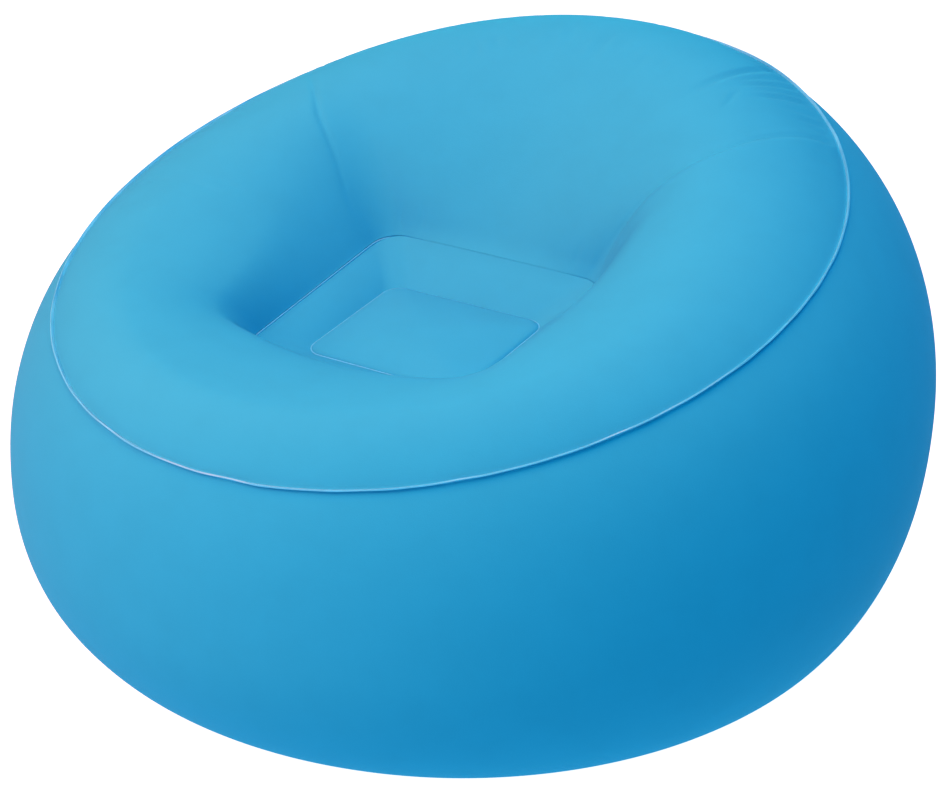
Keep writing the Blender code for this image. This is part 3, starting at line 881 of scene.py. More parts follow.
def add_block(shape: bmesh.types.BMesh, size: Vector, centre: Vector) -> list[bmesh.types.BMVert]:
    """Add a block to a bmesh.

    Args:
        shape: The bmesh.
        size: Size of the block along X, Y and Z.
        centre: Its middle.

    Returns:
        The block's corners.
    """
    place = Matrix.Translation(centre) @ Matrix.Diagonal((*size, 1))
    return bmesh.ops.create_cube(shape, size=1, matrix=place)["verts"]


def declare(thing: bpy.types.Object, body: Body, slot: Slot, *nodes: str) -> bpy.types.Object:
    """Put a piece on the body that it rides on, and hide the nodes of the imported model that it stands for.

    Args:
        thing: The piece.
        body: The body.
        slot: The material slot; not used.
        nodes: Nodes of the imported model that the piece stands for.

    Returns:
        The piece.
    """
    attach(thing, body.value)
    if nodes:
        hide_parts(*nodes)
    LOG.info("%s rides on %s", thing.name, body.value)
    return thing


# Puckers and creases


@dataclass(frozen=True)
class Pucker:
    """A short fold in a sheet: a valley with a low ridge on each side."""

    turn: float
    level: float
    heading: float
    length: float
    width: float
    depth: float
    bend: float = 0.0

    def depths(self, points: Array, origin: Array, around: Array, down: Array) -> Array:
        """How far the fold sinks each point.

        Args:
            points: Points of the sheet.
            origin: Middle of the fold.
            around: Direction round the chair at the middle of the fold.
            down: Direction across the sheet, at a right angle to it.

        Returns:
            Depth at each point, negative on the ridges.
        """
        heading = math.radians(self.heading)
        away = points - origin
        level_run, level_side = away @ around, away @ down
        run = level_run * math.cos(heading) + level_side * math.sin(heading)
        side = level_side * math.cos(heading) - level_run * math.sin(heading)
        side = (side - self.bend * run * run) / self.width
        fade = np.exp(-((2 * run / self.length) ** 4))
        return self.depth * (1 - side * side / 2) * np.exp(-side * side / 2) * fade


@dataclass(frozen=True)
class PuckerRow:
    """A row of puckers side by side along a seam, each a little different."""

    seed: int
    first_turn: float
    last_turn: float
    spacing: float
    level: float
    level_spread: float
    length: float
    width: float
    depth: float
    heading_spread: float = 9.0
    spread_share: float = 0.35
    across_heading: float = 90.0
    end_share: float = 0.4
    end_spacings: float = 4.0

    def puckers(self) -> list[Pucker]:
        """Make the row's puckers."""
        chance = random.Random(self.seed)
        least, most = 1 - self.spread_share, 1 + self.spread_share
        row = []
        turn = self.first_turn
        while turn < self.last_turn:
            edge = min(turn - self.first_turn, self.last_turn - turn) / (self.end_spacings * self.spacing)
            size = min(1, self.end_share + edge) * chance.uniform(least, most)
            level = self.level + chance.uniform(-1, 1) * self.level_spread
            heading = self.across_heading + chance.uniform(-1, 1) * self.heading_spread
            width = self.width * chance.uniform(least, most)
            bend = chance.uniform(-1, 1)
            row.append(Pucker(turn, level, heading, self.length * size, width, self.depth * size, bend))
            turn += self.spacing * chance.uniform(least, most)
        return row


@dataclass(frozen=True)
class Crease:
    """The fold where an arm's swell meets the flat back, from the pocket's corner to the seam."""

    side: int
    radii: tuple[float, ...]
    turns: tuple[float, ...]
    fold_depths: tuple[float, ...]
    swells: tuple[float, ...]
    fold_width: float = 0.0048
    swell_width: float = 0.010
    swell_reach: float = 0.075

    def depths(self, turn: Array, radius: Array) -> Array:
        """How far the crease sinks each point.

        Args:
            turn: Turn of each point.
            radius: Distance of each point from the axis.

        Returns:
            Depth at each point, negative where the sheet swells.
        """
        path = self.side * np.radians(np.interp(radius, self.radii, self.turns))
        away = self.side * from_back(turn - path) * radius
        fold = np.interp(radius, self.radii, self.fold_depths) * np.exp(-((away / self.fold_width) ** 2))
        swell = np.interp(radius, self.radii, self.swells) * np.tanh(away / self.swell_width)
        return fold - swell * np.exp(-np.abs(away) / self.swell_reach)


# Panels


@dataclass(frozen=True)
class ValvePlace:
    """Where the valve sits: local Z points out of the chair, and local Y down along the skin."""

    centre: tuple[float, float, float]
    down: tuple[float, float, float]
    out: tuple[float, float, float]

    @classmethod
    def on(cls, shape: DrumShape, columns: int = 48, rows: int = 6, row: int = 4) -> "ValvePlace":
        """Find the flat patch in the middle of the back.

        Args:
            shape: The chair's shape.
            columns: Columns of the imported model's side skin.
            rows: Rows of its lower wall.
            row: Row that carries the valve.

        Returns:
            The place.
        """
        turn = np.array(math.pi / columns)
        low = Vector(shape.lower_wall(turn, QUARTER_TURN * row / rows))
        high = Vector(shape.lower_wall(turn, QUARTER_TURN * (row + 1) / rows))
        out = Vector((0, high.z - low.z, low.y - high.y)).normalized()
        down = out.cross(Vector((1, 0, 0)))
        middle = (low + high) / 2
        return cls((0.0, middle.y, middle.z), tuple(down), tuple(out))

    def matrix(self) -> Matrix:
        """Matrix from the valve's own axes to the chair's."""
        axes = Matrix(((1, 0, 0), self.down, self.out)).transposed()
        return Matrix.Translation(self.centre) @ axes.to_4x4()


@dataclass
class BlownPanel:
    """A sheet of the air ring, which the air presses outwards and its welds gather."""

    shape: DrumShape
    skin: float = 0.4 * MILLIMETRE
    columns: int = 480
    seam_margin: float = 4.0 * MILLIMETRE
    seam_lap: tuple[tuple[float, float], ...] = ((0.0022, 0.0002), (0.0011, 0.0006), (0.0007, 0.0016))
    unevenness: float = 0.5 * MILLIMETRE
    unevenness_period: float = 0.14
    first_fade: float = 1 / 12
    last_fade: float = 1 / 12
    rows_of_puckers: tuple[PuckerRow, ...] = ()
    single_puckers: tuple[Pucker, ...] = ()

    def point(self, turn: Array, level: Array) -> Array:
        """Points of the plain panel.

        Args:
            turn: Turns.
            level: Places across the panel, from -1 to 1.

        Returns:
            The points.
        """
        raise NotImplementedError

    def core(self, points: Array) -> Array:
        """Points in the air ring's middle, at the same turns."""
        turn = turn_of(points)
        return at_turn(self.shape.crown_radius(turn), turn, self.shape.crown.at(turn) / 2)

    def outwards(self, turn: Array, level: Array) -> Array:
        """Directions out of the plain panel.

        Args:
            turn: Turns.
            level: Places across the panel, from -1 to 1.

        Returns:
            The directions.
        """
        around = self.point(turn + TURN_STEP, level) - self.point(turn - TURN_STEP, level)
        after = self.point(turn, np.minimum(level + TURN_STEP, 1))
        before = self.point(turn, np.maximum(level - TURN_STEP, -1))
        out = unit(np.cross(around, after - before))
        points = self.point(turn, level)
        return out * np.sign(np.sum(out * (points - self.core(points)), axis=-1, keepdims=True))

    def pucker_depths(self, points: Array) -> Array:
        """How far the puckers sink each point.

        Args:
            points: Points of the plain panel.

        Returns:
            The depths.
        """
        depth = np.zeros(len(points))
        puckers = [pucker for row in self.rows_of_puckers for pucker in row.puckers()]
        for pucker in [*puckers, *self.single_puckers]:
            turn = np.array([math.radians(pucker.turn)])
            level = np.array([pucker.level])
            origin = self.point(turn, level)[0]
            around = unit(self.point(turn + TURN_STEP, level)[0] - origin)
            down = unit(self.point(turn, level + TURN_STEP)[0] - origin)
            down = unit(down - around * (down @ around))
            depth += pucker.depths(points, origin, around, down)
        return depth

    def waves(self, points: Array) -> Array:
        """How far the sheet's slight unevenness lifts each point."""
        values = [noise.noise(Vector(point) / self.unevenness_period) for point in points]
        return np.array(values) * self.unevenness

    def lapped(self, points: Array, row: Array, turn: Array, first: int, step: int) -> Array:
        """Lay the rows next to the seam onto it.

        Args:
            points: Points of the panel.
            row: Row of each point.
            turn: Turn of each point.
            first: The row of the lap that is furthest from the seam.
            step: 1 where the rows count up to the seam, -1 where they count away from it.

        Returns:
            The points.
        """
        seam, up, out = self.shape.seam_frame(turn)
        for number, (away, lift) in enumerate(self.seam_lap):
            points = with_row(points, row, first + step * number, seam - up * away * step + out * lift)
        return points

    def finish(
        self,
        name: str,
        sheet: bmesh.types.BMesh,
        finishes: Finishes,
        node: str,
    ) -> bpy.types.Object:
        """Args:
            name: Name of the piece.
            sheet: The sheet.
            finishes: The chair's finishes.
            node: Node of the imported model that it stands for.

        Returns:
            The panel.
        """
        face_away(sheet, lambda point: Vector(self.core(np.array(point))))
        panel = new_object(name, sheet, finishes.of(Slot.FLOCKED_SHEET))
        thicken(panel, self.skin, -1)
        return declare(panel, Body.CHAIR, Slot.FLOCKED_SHEET, node)


@dataclass
class TopPanel(BlownPanel):
    """Panel over the back, the arms and the front lip, and down into the pocket."""

    crown_rows: int = 30
    pocket_rows: int = 61
    band_fold: Fold = Fold(0.7 * MILLIMETRE, 0.6 * MILLIMETRE)
    edge_share: float = 0.004
    back_flatness: float = 1.15
    left_flatness: float = 0.85
    right_flatness: float = 0.40
    back_end_left: float = math.radians(104)
    back_end_right: float = math.radians(84)
    back_flat_turn: float = math.radians(52)
    side_end: float = math.radians(138)
    side_fade: float = math.radians(46)
    wave_fade: float = 1 / 4
    creases: tuple[Crease, ...] = (
        Crease(
            1,
            (0.155, 0.18, 0.207, 0.227, 0.258, 0.292, 0.337, 0.387, 0.41, 0.435, 0.48),
            (70, 68, 66.8, 66.2, 65.2, 63.6, 59.5, 56, 54.5, 53.5, 52.5),
            (0.0004, 0.0016, 0.0026, 0.0030, 0.0032, 0.0036, 0.0036, 0.0028, 0.0018, 0.0014, 0.0010),
            (0.0006, 0.0022, 0.0038, 0.0044, 0.0044, 0.0040, 0.0032, 0.0024, 0.0014, 0.0008, 0.0004),
        ),
        Crease(
            -1,
            (0.155, 0.175, 0.196, 0.226, 0.255, 0.281, 0.31, 0.34, 0.40, 0.48),
            (76, 85, 84, 80.5, 78.5, 76.5, 73, 70, 65, 60),
            (0, 0.0002, 0.0004, 0.0008, 0.0016, 0.0024, 0.0026, 0.0016, 0.0004, 0),
            (0, 0.0002, 0.0004, 0.0006, 0.0008, 0.0008, 0.0006, 0.0003, 0.0001, 0),
        ),
    )
    rows_of_puckers: tuple[PuckerRow, ...] = (
        PuckerRow(11, -116, 62, 3.1, -0.86, 0.05, 0.050, 0.0042, 0.0011),
        PuckerRow(12, -36, 27, 4.6, 0.20, 0.05, 0.046, 0.0042, 0.0020, heading_spread=16),
    )
    single_puckers: tuple[Pucker, ...] = (
        Pucker(33.5, -0.28, 66, 0.150, 0.0055, 0.0030, 1.2),
        Pucker(35.6, -0.52, 72, 0.100, 0.0042, 0.0017, 0.8),
        Pucker(38.3, -0.50, 80, 0.095, 0.0045, 0.0024, 0.8),
        Pucker(40.6, -0.56, 81, 0.075, 0.0036, 0.0015, 0.6),
        Pucker(42.8, -0.62, 84, 0.090, 0.0045, 0.0028, 0.6),
        Pucker(46.2, -0.74, 86, 0.060, 0.0040, 0.0014),
        Pucker(49.4, -0.70, 92, 0.050, 0.0038, 0.0010),
        Pucker(43.5, 0.03, 40, 0.028, 0.0036, 0.0012),
        Pucker(45.5, 0.05, 48, 0.024, 0.0034, 0.0009),
        Pucker(-107.2, -0.45, 90, 0.036, 0.0040, 0.0011),
        Pucker(-109.8, 0.06, 92, 0.044, 0.0045, 0.0008),
        Pucker(-107.8, 0.20, 90, 0.040, 0.0045, 0.0007),
        Pucker(-117.0, -0.30, 80, 0.030, 0.0036, 0.0008),
        Pucker(-128.0, -0.32, 108, 0.022, 0.0032, 0.0008),
        Pucker(173.5, 0.517, 0, 0.018, 0.0030, 0.0007),
        Pucker(169.0, 0.560, 0, 0.014, 0.0030, 0.0005),
        Pucker(161.5, 0.375, 8, 0.016, 0.0030, 0.0006),
        Pucker(-62.0, 0.93, 90, 0.045, 0.0040, 0.0006),
        Pucker(-68.0, 0.93, 90, 0.040, 0.0040, 0.0005),
        Pucker(62.0, 0.93, 90, 0.045, 0.0040, 0.0006),
        Pucker(68.0, 0.93, 90, 0.040, 0.0040, 0.0005),
    )

    def point(self, turn: Array, level: Array) -> Array:
        """Points of the plain panel.

        Args:
            turn: Turns.
            level: -1 at the seam, 0 at the crown and 1 at the band.

        Returns:
            The points.
        """
        start = self.shape.seam_angle(turn) + self.shape.seam_margin_angle(turn, self.seam_margin)
        outer = self.shape.upper_wall(turn, start + (QUARTER_TURN - start) * (1 + np.minimum(level, 0)))
        drop = self.shape.crown.at(turn) - self.shape.band.height
        end = QUARTER_TURN - self.band_fold.height * self.shape.fold_share(turn) / drop
        angle = end * np.maximum(level, 0)
        inner = self.shape.pocket_wall(turn, angle, self.flatness(turn))
        return np.where((level < 0)[..., None], outer, inner)

    def place(self, share: Array, way: Array) -> Array:
        """Points of the finished panel.

        Args:
            share: Share of the way round.
            way: Share of the way from the seam to the band.

        Returns:
            The points.
        """
        laps = len(self.seam_lap)
        tucks = self.band_fold.steps
        rows = laps + self.crown_rows + self.pocket_rows + tucks
        row = np.rint(way * rows)
        crown_row = (row - laps) / self.crown_rows - 1
        pocket_row = (row - laps - self.crown_rows) / (self.pocket_rows - 1)
        pocket_row = np.where(pocket_row > 1, pocket_row, pocket_row * (1 - self.edge_share))
        level = np.clip(np.where(pocket_row < 0, crown_row, pocket_row), -1, 1)
        drift = np.where(
            level < 0,
            self.shape.crown_drift_share * (1 + level),
            self.shape.crown_drift_share
            + (1 - self.shape.crown_drift_share) * np.sin(QUARTER_TURN * np.maximum(level, 0)),
        )
        turn = self.shape.column_turn(share, drift)
        points = self.point(turn, level)
        points = points + self.outwards(turn, level) * self.lifted(points, turn, level)[..., None]
        points = self.lapped(points, row, turn, laps - 1, -1)
        edge = self.shape.band.points(share)
        fold_share = self.shape.fold_share(turn_of(edge))[..., None]
        beyond = self.shape.band.outwards(share) * fold_share
        above = self.shape.band.normal() * fold_share
        for number, (tuck, lift) in enumerate(self.band_fold.profile()):
            tucked = edge + beyond * tuck + above * lift
            points = with_row(points, row, rows - tucks + number, tucked)
        return points + self.shape.rear_fillet(points, share)

    def flatness(self, turn: Array) -> Array:
        """How flat the pocket wall is: most at the back, less at the arms and not at all at the front.

        Args:
            turn: Turns.

        Returns:
            The flatness at each turn.
        """
        way = from_back(turn)
        side = np.where(way > 0, self.right_flatness, self.left_flatness)
        side = side * smooth_step((self.side_end - np.abs(way)) / self.side_fade)
        end = np.where(way > 0, self.back_end_right, self.back_end_left)
        back = smooth_step((end - np.abs(way)) / (end - self.back_flat_turn))
        return side + (self.back_flatness - side) * back

    def lifted(self, points: Array, turn: Array, level: Array) -> Array:
        """How far the unevenness lifts each point, less what the creases and puckers sink it.

        Args:
            points: Points of the plain panel.
            turn: Their turns.
            level: Their places across the panel, from -1 to 1.

        Returns:
            The lifts.
        """
        radius = np.hypot(points[..., 0], points[..., 1])
        depth = self.pucker_depths(points)
        for crease in self.creases:
            depth += crease.depths(turn, radius)
        waves = self.waves(points) * edge_fade(level, self.wave_fade, self.wave_fade)
        return waves - depth * edge_fade(level, self.first_fade, self.last_fade)

    def build(self, finishes: Finishes) -> bpy.types.Object:
        """Make the panel.

        Args:
            finishes: The chair's finishes.

        Returns:
            The panel.
        """
        rows = len(self.seam_lap) + self.crown_rows + self.pocket_rows + self.band_fold.steps
        return self.finish("top_panel", laid_grid(self.columns, rows, self.place), finishes, "top_skin")


@dataclass(kw_only=True)
class SidePanel(BlownPanel):
    """Outer wall from the base to the perimeter seam, with the hole for the valve."""

    valve: ValvePlace
    lower_rows: int = 44
    upper_rows: int = 30
    flat_radius: float = 0.036
    flat_reach: float = 0.085
    hole_radius: float = 0.0172
    hole_cuts: int = 5
    unevenness: float = 0.7 * MILLIMETRE
    first_fade: float = 1 / 30
    rows_of_puckers: tuple[PuckerRow, ...] = (
        PuckerRow(21, -120, 30, 3.3, 0.86, 0.05, 0.060, 0.0045, 0.0012),
        PuckerRow(22, -180, 180, 5.6, -0.97, 0.01, 0.036, 0.0050, 0.0009),
    )

    def point(self, turn: Array, level: Array) -> Array:
        """Points of the plain panel.

        Args:
            turn: Turns.
            level: -1 at the base, 0 at the widest line and 1 at the seam.

        Returns:
            The points.
        """
        end = self.shape.seam_angle(turn) - self.shape.seam_margin_angle(turn, self.seam_margin)
        lower = self.shape.lower_wall(turn, QUARTER_TURN * (1 + np.minimum(level, 0)))
        upper = self.shape.upper_wall(turn, end * np.maximum(level, 0))
        return np.where((level < 0)[..., None], lower, upper)

    def place(self, share: Array, way: Array) -> Array:
        """Points of the finished panel.

        Args:
            share: Share of the way round.
            way: Share of the way from the base to the seam.

        Returns:
            The points.
        """
        rows = self.lower_rows + self.upper_rows + len(self.seam_lap)
        row = np.rint(way * rows)
        turn = FULL_TURN * share
        upper = (row - self.lower_rows) / self.upper_rows
        level = np.clip(np.where(upper < 0, row / self.lower_rows - 1, upper), -1, 1)
        points = self.point(turn, level)
        lift = self.waves(points) - self.pucker_depths(points)
        lift = lift * edge_fade(level, self.first_fade, self.last_fade)
        points = points + self.outwards(turn, level) * lift[..., None]
        return self.flattened(self.lapped(points, row, turn, rows - len(self.seam_lap) + 1, 1))

    def flattened(self, points: Array) -> Array:
        """Bring the points round the valve onto its flat patch.

        Args:
            points: Points of the panel.

        Returns:
            The points.
        """
        out = np.array(self.valve.out)
        away = points - np.array(self.valve.centre)
        height = away @ out
        distance = np.linalg.norm(away - height[..., None] * out, axis=-1)
        near = np.linalg.norm(away, axis=-1) < 2 * self.flat_reach
        share = 1 - smooth_step((distance - self.flat_radius) / (self.flat_reach - self.flat_radius))
        return points - (height * share * near)[..., None] * out

    def cut_hole(self, sheet: bmesh.types.BMesh) -> None:
        """Cut the valve's hole into the flat patch.

        Args:
            sheet: The panel.
        """
        to_valve = self.valve.matrix().inverted()

        def distance(point: Vector) -> float:
            """Distance from the valve's axis, with more for points off its patch."""
            local = to_valve @ point
            return math.hypot(local.x, local.y) + abs(local.z) * 2

        edges = [e for e in sheet.edges if all(distance(v.co) < self.flat_radius for v in e.verts)]
        bmesh.ops.subdivide_edges(sheet, edges=edges, cuts=self.hole_cuts, use_grid_fill=True)
        gone = [f for f in sheet.faces if distance(f.calc_center_median()) < self.hole_radius]
        bmesh.ops.delete(sheet, geom=gone, context="FACES")
        for vertex in sheet.verts:
            if vertex.is_boundary and distance(vertex.co) < 2 * self.hole_radius:
                local = to_valve @ vertex.co
                scale = self.hole_radius / math.hypot(local.x, local.y)
                vertex.co = self.valve.matrix() @ Vector((local.x * scale, local.y * scale, local.z))

    def build(self, finishes: Finishes) -> bpy.types.Object:
        """Make the panel.

        Args:
            finishes: The chair's finishes.

        Returns:
            The panel.
        """
        rows = self.lower_rows + self.upper_rows + len(self.seam_lap)
        sheet = laid_grid(self.columns, rows, self.place)
        self.cut_hole(sheet)
        return self.finish("side_panel", sheet, finishes, "side_skin")


@dataclass
class SeatPocket:
    """The flared band round the seat, the seat floor, and the welds behind their edges."""

    shape: DrumShape
    skin: float = 0.4 * MILLIMETRE
    columns: int = 240
    band_rows: int = 22
    floor_rows: int = 26
    band_bulge: float = 3.5 * MILLIMETRE
    floor_crown: float = 9.0 * MILLIMETRE
    floor_edge: float = 3.6 * MILLIMETRE
    upper_fold: Fold = Fold(1.2 * MILLIMETRE, 1.4 * MILLIMETRE)
    lower_fold: Fold = Fold(0.8 * MILLIMETRE, 0.8 * MILLIMETRE)
    floor_rounding: float = 7.0 * MILLIMETRE
    floor_row_power: float = 1.7
    weld_width: float = 6.0 * MILLIMETRE
    weld_thickness: float = 0.8 * MILLIMETRE
    weld_setback: float = 1.6 * MILLIMETRE
    weld_rows: int = 2
    bead_radius: float = 1.3 * MILLIMETRE
    bead_faces: int = 10
    band_bead_drop: float = 1.2 * MILLIMETRE
    floor_bead_drop: float = -0.2 * MILLIMETRE

    def place_band(self, share: Array, way: Array) -> Array:
        """Points of the band.

        Args:
            share: Share of the way round.
            way: Share of the way from its upper to its lower edge.

        Returns:
            The points.
        """
        band, floor = self.shape.band, self.shape.floor
        tucks = self.upper_fold.steps
        rows = self.band_rows + 2 * tucks
        row = np.rint(way * rows)
        drop = smooth_step((row - tucks) / self.band_rows)
        edge = band.points(share)
        fold_share = self.shape.fold_share(turn_of(edge))[..., None]
        beyond = band.outwards(share) * fold_share
        below = band.normal() * -fold_share
        high = edge + below * self.upper_fold.height
        low = floor.points(share) + floor.normal() * self.lower_fold.height
        points = high + (low - high) * drop[..., None]
        slope = unit(low - high)
        facing = unit(np.cross(np.cross(slope, band.outwards(share)), slope))
        facing = facing * -np.sign(np.sum(facing * band.outwards(share), axis=-1, keepdims=True))
        points = points + facing * (4 * self.band_bulge * drop * (1 - drop))[..., None]
        for number, (tuck, lift) in enumerate(self.upper_fold.profile()):
            points = with_row(points, row, tucks - number, edge + beyond * tuck + below * lift)
        for number, (tuck, lift) in enumerate(self.lower_fold.profile()):
            lower = floor.points(share) + floor.outwards(share) * tuck + floor.normal() * lift
            points = with_row(points, row, rows - tucks + number, lower)
        return points + self.shape.rear_fillet(points, share)

    def place_floor(self, share: Array, way: Array) -> Array:
        """Points of the seat floor.

        Args:
            share: Share of the way round.
            way: Share of the way from its edge to its middle.

        Returns:
            The points.
        """
        floor = self.shape.floor
        tucks = self.lower_fold.steps
        rows = self.floor_rows + tucks
        row = np.rint(way * rows)
        size = 1 - np.clip((row - tucks) / self.floor_rows, 0, 1) ** self.floor_row_power
        inset = (1 - size) * floor.half_length
        edge = np.clip(1 - inset / self.floor_rounding, 0, 1)
        crown = self.floor_edge * np.sqrt(1 - edge**2) + self.floor_crown * (1 - size**2)
        points = floor.points(share, size) + floor.normal() * crown[..., None]
        for number, (tuck, lift) in enumerate(self.lower_fold.profile()):
            sink = lift - self.lower_fold.height
            under = floor.points(share) + floor.outwards(share) * tuck - floor.normal() * sink
            points = with_row(points, row, tucks - number, under)
        return points

    def weld(self, outline: RoundedSquare, inwards: bool) -> bmesh.types.BMesh:
        """Flat strip of weld behind an edge.

        Args:
            outline: The edge that it follows.
            inwards: True where it lies inside the outline.

        Returns:
            The bmesh.
        """
        side = -1 if inwards else 1

        def place(share: Array, way: Array) -> Array:
            """Points of the strip."""
            reach = self.weld_setback + (self.weld_width - self.weld_setback) * way
            return outline.points(share) + outline.outwards(share) * (reach * side)[..., None]

        return laid_grid(self.columns, self.weld_rows, place)

    def bead(self, outline: RoundedSquare, drop: float, full: bool) -> bmesh.types.BMesh:
        """Rounded bead of molten sheet that stands out of a weld.

        Args:
            outline: The edge that it follows.
            drop: Height of the edge's plane over its middle.
            full: True where it is as thick at the back as elsewhere.

        Returns:
            The bmesh.
        """

        def place(share: Array, way: Array) -> Array:
            """Points of the bead."""
            edge = outline.points(share)
            size = np.ones_like(share) if full else self.shape.fold_share(turn_of(edge))
            angle = FULL_TURN * way
            radius = (self.bead_radius * size)[..., None]
            beyond = outline.outwards(share) * np.cos(angle)[..., None]
            above = outline.normal() * np.sin(angle)[..., None]
            centre = edge - outline.normal() * (drop * size)[..., None]
            return centre + (beyond + above) * radius

        return laid_grid(self.columns, self.bead_faces, place)

    def build(self, finishes: Finishes) -> list[bpy.types.Object]:
        """Make the pocket's pieces.

        Args:
            finishes: The chair's finishes.

        Returns:
            The pieces.
        """
        centre_y = self.shape.band.centre_y
        pieces = []

        def outside(point: Vector) -> Vector:
            """Point in the air behind the band."""
            return Vector((point.x * 2, point.y * 2 - centre_y, 0))

        band = laid_grid(self.columns, self.band_rows + 2 * self.upper_fold.steps, self.place_band)
        face_away(band, outside)
        panel = new_object("band_panel", band, finishes.of(Slot.FLOCKED_SHEET))
        pieces.append(declare(panel, Body.CHAIR, Slot.FLOCKED_SHEET, "pocket_band"))
        floor = laid_grid(self.columns, self.floor_rows + self.lower_fold.steps, self.place_floor)
        face_away(floor, lambda point: Vector((point.x, point.y, 0)))
        panel = new_object("floor_panel", floor, finishes.of(Slot.FLOCKED_SHEET))
        pieces.append(declare(panel, Body.CHAIR, Slot.FLOCKED_SHEET, "seat_floor"))
        for piece in pieces:
            thicken(piece, self.skin, -1)
        strips = {
            "band_weld_strip": (self.shape.band, False, "band_weld"),
            "floor_weld_strip": (self.shape.floor, True, "floor_weld"),
        }
        for name, (outline, inwards, node) in strips.items():
            strip = new_object(name, self.weld(outline, inwards), finishes.of(Slot.INNER_SHEET))
            thicken(strip, self.weld_thickness, 0)
            pieces.append(declare(strip, Body.CHAIR, Slot.INNER_SHEET, node))
        beads = {
            "band_weld_bead": (self.shape.band, self.band_bead_drop, False),
            "floor_weld_bead": (self.shape.floor, self.floor_bead_drop, True),
        }
        for name, (outline, drop, full) in beads.items():
            ring = self.bead(outline, drop, full)
            bmesh.ops.recalc_face_normals(ring, faces=ring.faces)
            thing = new_object(name, ring, finishes.of(Slot.WELD_SEAM))
            pieces.append(declare(thing, Body.CHAIR, Slot.WELD_SEAM))
        return pieces


@dataclass
class PerimeterSeam:
    """The thin raised fin where the top panel and the side panel are welded together."""

    shape: DrumShape
    height: float = 4.0 * MILLIMETRE
    thickness: float = 2.0 * MILLIMETRE
    root_depth: float = 0.4 * MILLIMETRE
    columns: int = 720
    rows: int = 3
    wave: float = 1.5 * MILLIMETRE
    wave_period: float = 0.045
    height_wave_shift: float = 5.0
    height_wave: float = 0.35 * MILLIMETRE
    rounding: float = 0.35 * MILLIMETRE

    def place(self, share: Array, way: Array) -> Array:
        """Points of the fin's middle sheet.

        Args:
            share: Share of the way round.
            way: Share of the way from its root to its tip.

        Returns:
            The points.
        """
        turn = FULL_TURN * share
        point, up, out = self.shape.seam_frame(turn)
        shift = Vector((self.height_wave_shift,) * 3)
        sway = np.array([noise.noise(Vector(spot) / self.wave_period) for spot in point])
        swell = np.array([noise.noise(Vector(spot) / self.wave_period + shift) for spot in point])
        lift = -self.root_depth + (self.height + self.root_depth + swell * self.height_wave) * way
        return point + out * lift[..., None] + up * (sway * self.wave * way**2)[..., None]

    def build(self, finishes: Finishes) -> bpy.types.Object:
        """Make the fin.

        Args:
            finishes: The chair's finishes.

        Returns:
            The fin.
        """
        sheet = laid_grid(self.columns, self.rows, self.place)
        fin = new_object("seam_fin", sheet, finishes.of(Slot.WELD_SEAM))
        thicken(fin, self.thickness, 0)
        round_edges(fin, self.rounding)
        return declare(fin, Body.CHAIR, Slot.WELD_SEAM, "perimeter_weld")


# Valve


@dataclass(frozen=True)
class ValveSizes:
    """Sizes of the valve along its own axes: radii from its axis, and heights out of the skin."""

    neck_bore: float = 14.5 * MILLIMETRE
    neck_radius: float = 16.5 * MILLIMETRE
    neck_top: float = 3.5 * MILLIMETRE
    neck_bottom: float = -8.0 * MILLIMETRE
    collar_radius: float = 21.5 * MILLIMETRE
    collar_top: float = -0.7 * MILLIMETRE
    collar_bottom: float = -1.9 * MILLIMETRE
    flange_inside: float = 16.8 * MILLIMETRE
    flange_outside: float = 30.0 * MILLIMETRE
    flange_bottom: float = 0.3 * MILLIMETRE
    flange_top: float = 1.1 * MILLIMETRE
    gasket_inside: float = 14.65 * MILLIMETRE
    gasket_outside: float = 16.35 * MILLIMETRE
    gasket_bottom: float = 3.8 * MILLIMETRE
    gasket_top: float = 4.8 * MILLIMETRE
    ring_inside: float = 16.8 * MILLIMETRE
    rim_radius: float = 19.5 * MILLIMETRE
    ring_bottom: float = 1.4 * MILLIMETRE
    ring_top: float = 4.8 * MILLIMETRE
    rim_bottom: float = 5.1 * MILLIMETRE
    rim_top: float = 8.6 * MILLIMETRE
    barrel_radius: float = 14.2 * MILLIMETRE
    barrel_bottom: float = -12.0 * MILLIMETRE
    bore: float = 9.5 * MILLIMETRE
    bar_width: float = 2.0 * MILLIMETRE
    bar_length: float = 22.0 * MILLIMETRE
    bar_height: float = -10.7 * MILLIMETRE
    flap_radius: float = 11.8 * MILLIMETRE
    flap_top: float = -12.3 * MILLIMETRE
    flap_bottom: float = -13.3 * MILLIMETRE
    groove_inside: float = 13.3 * MILLIMETRE
    groove_outside: float = 17.1 * MILLIMETRE
    cap_radius: float = 12.5 * MILLIMETRE
    cap_bottom: float = 8.9 * MILLIMETRE
    cap_top: float = 10.9 * MILLIMETRE
    plug_radius: float = 9.0 * MILLIMETRE
    plug_inside: float = 7.5 * MILLIMETRE
    plug_bottom: float = 4.9 * MILLIMETRE
    tab_start: float = 9.6 * MILLIMETRE
    tab_end: float = 20.5 * MILLIMETRE
    tab_width: float = 8.0 * MILLIMETRE
    strap_thickness: float = 1.2 * MILLIMETRE
    strap_width: float = 6.0 * MILLIMETRE
    strap_low: float = 3.1 * MILLIMETRE
    strap_high: float = 9.9 * MILLIMETRE
    strap_reach: float = 23.5 * MILLIMETRE
    blend_low: float = 6.0 * MILLIMETRE
    blend_lean: float = 1.0 * MILLIMETRE


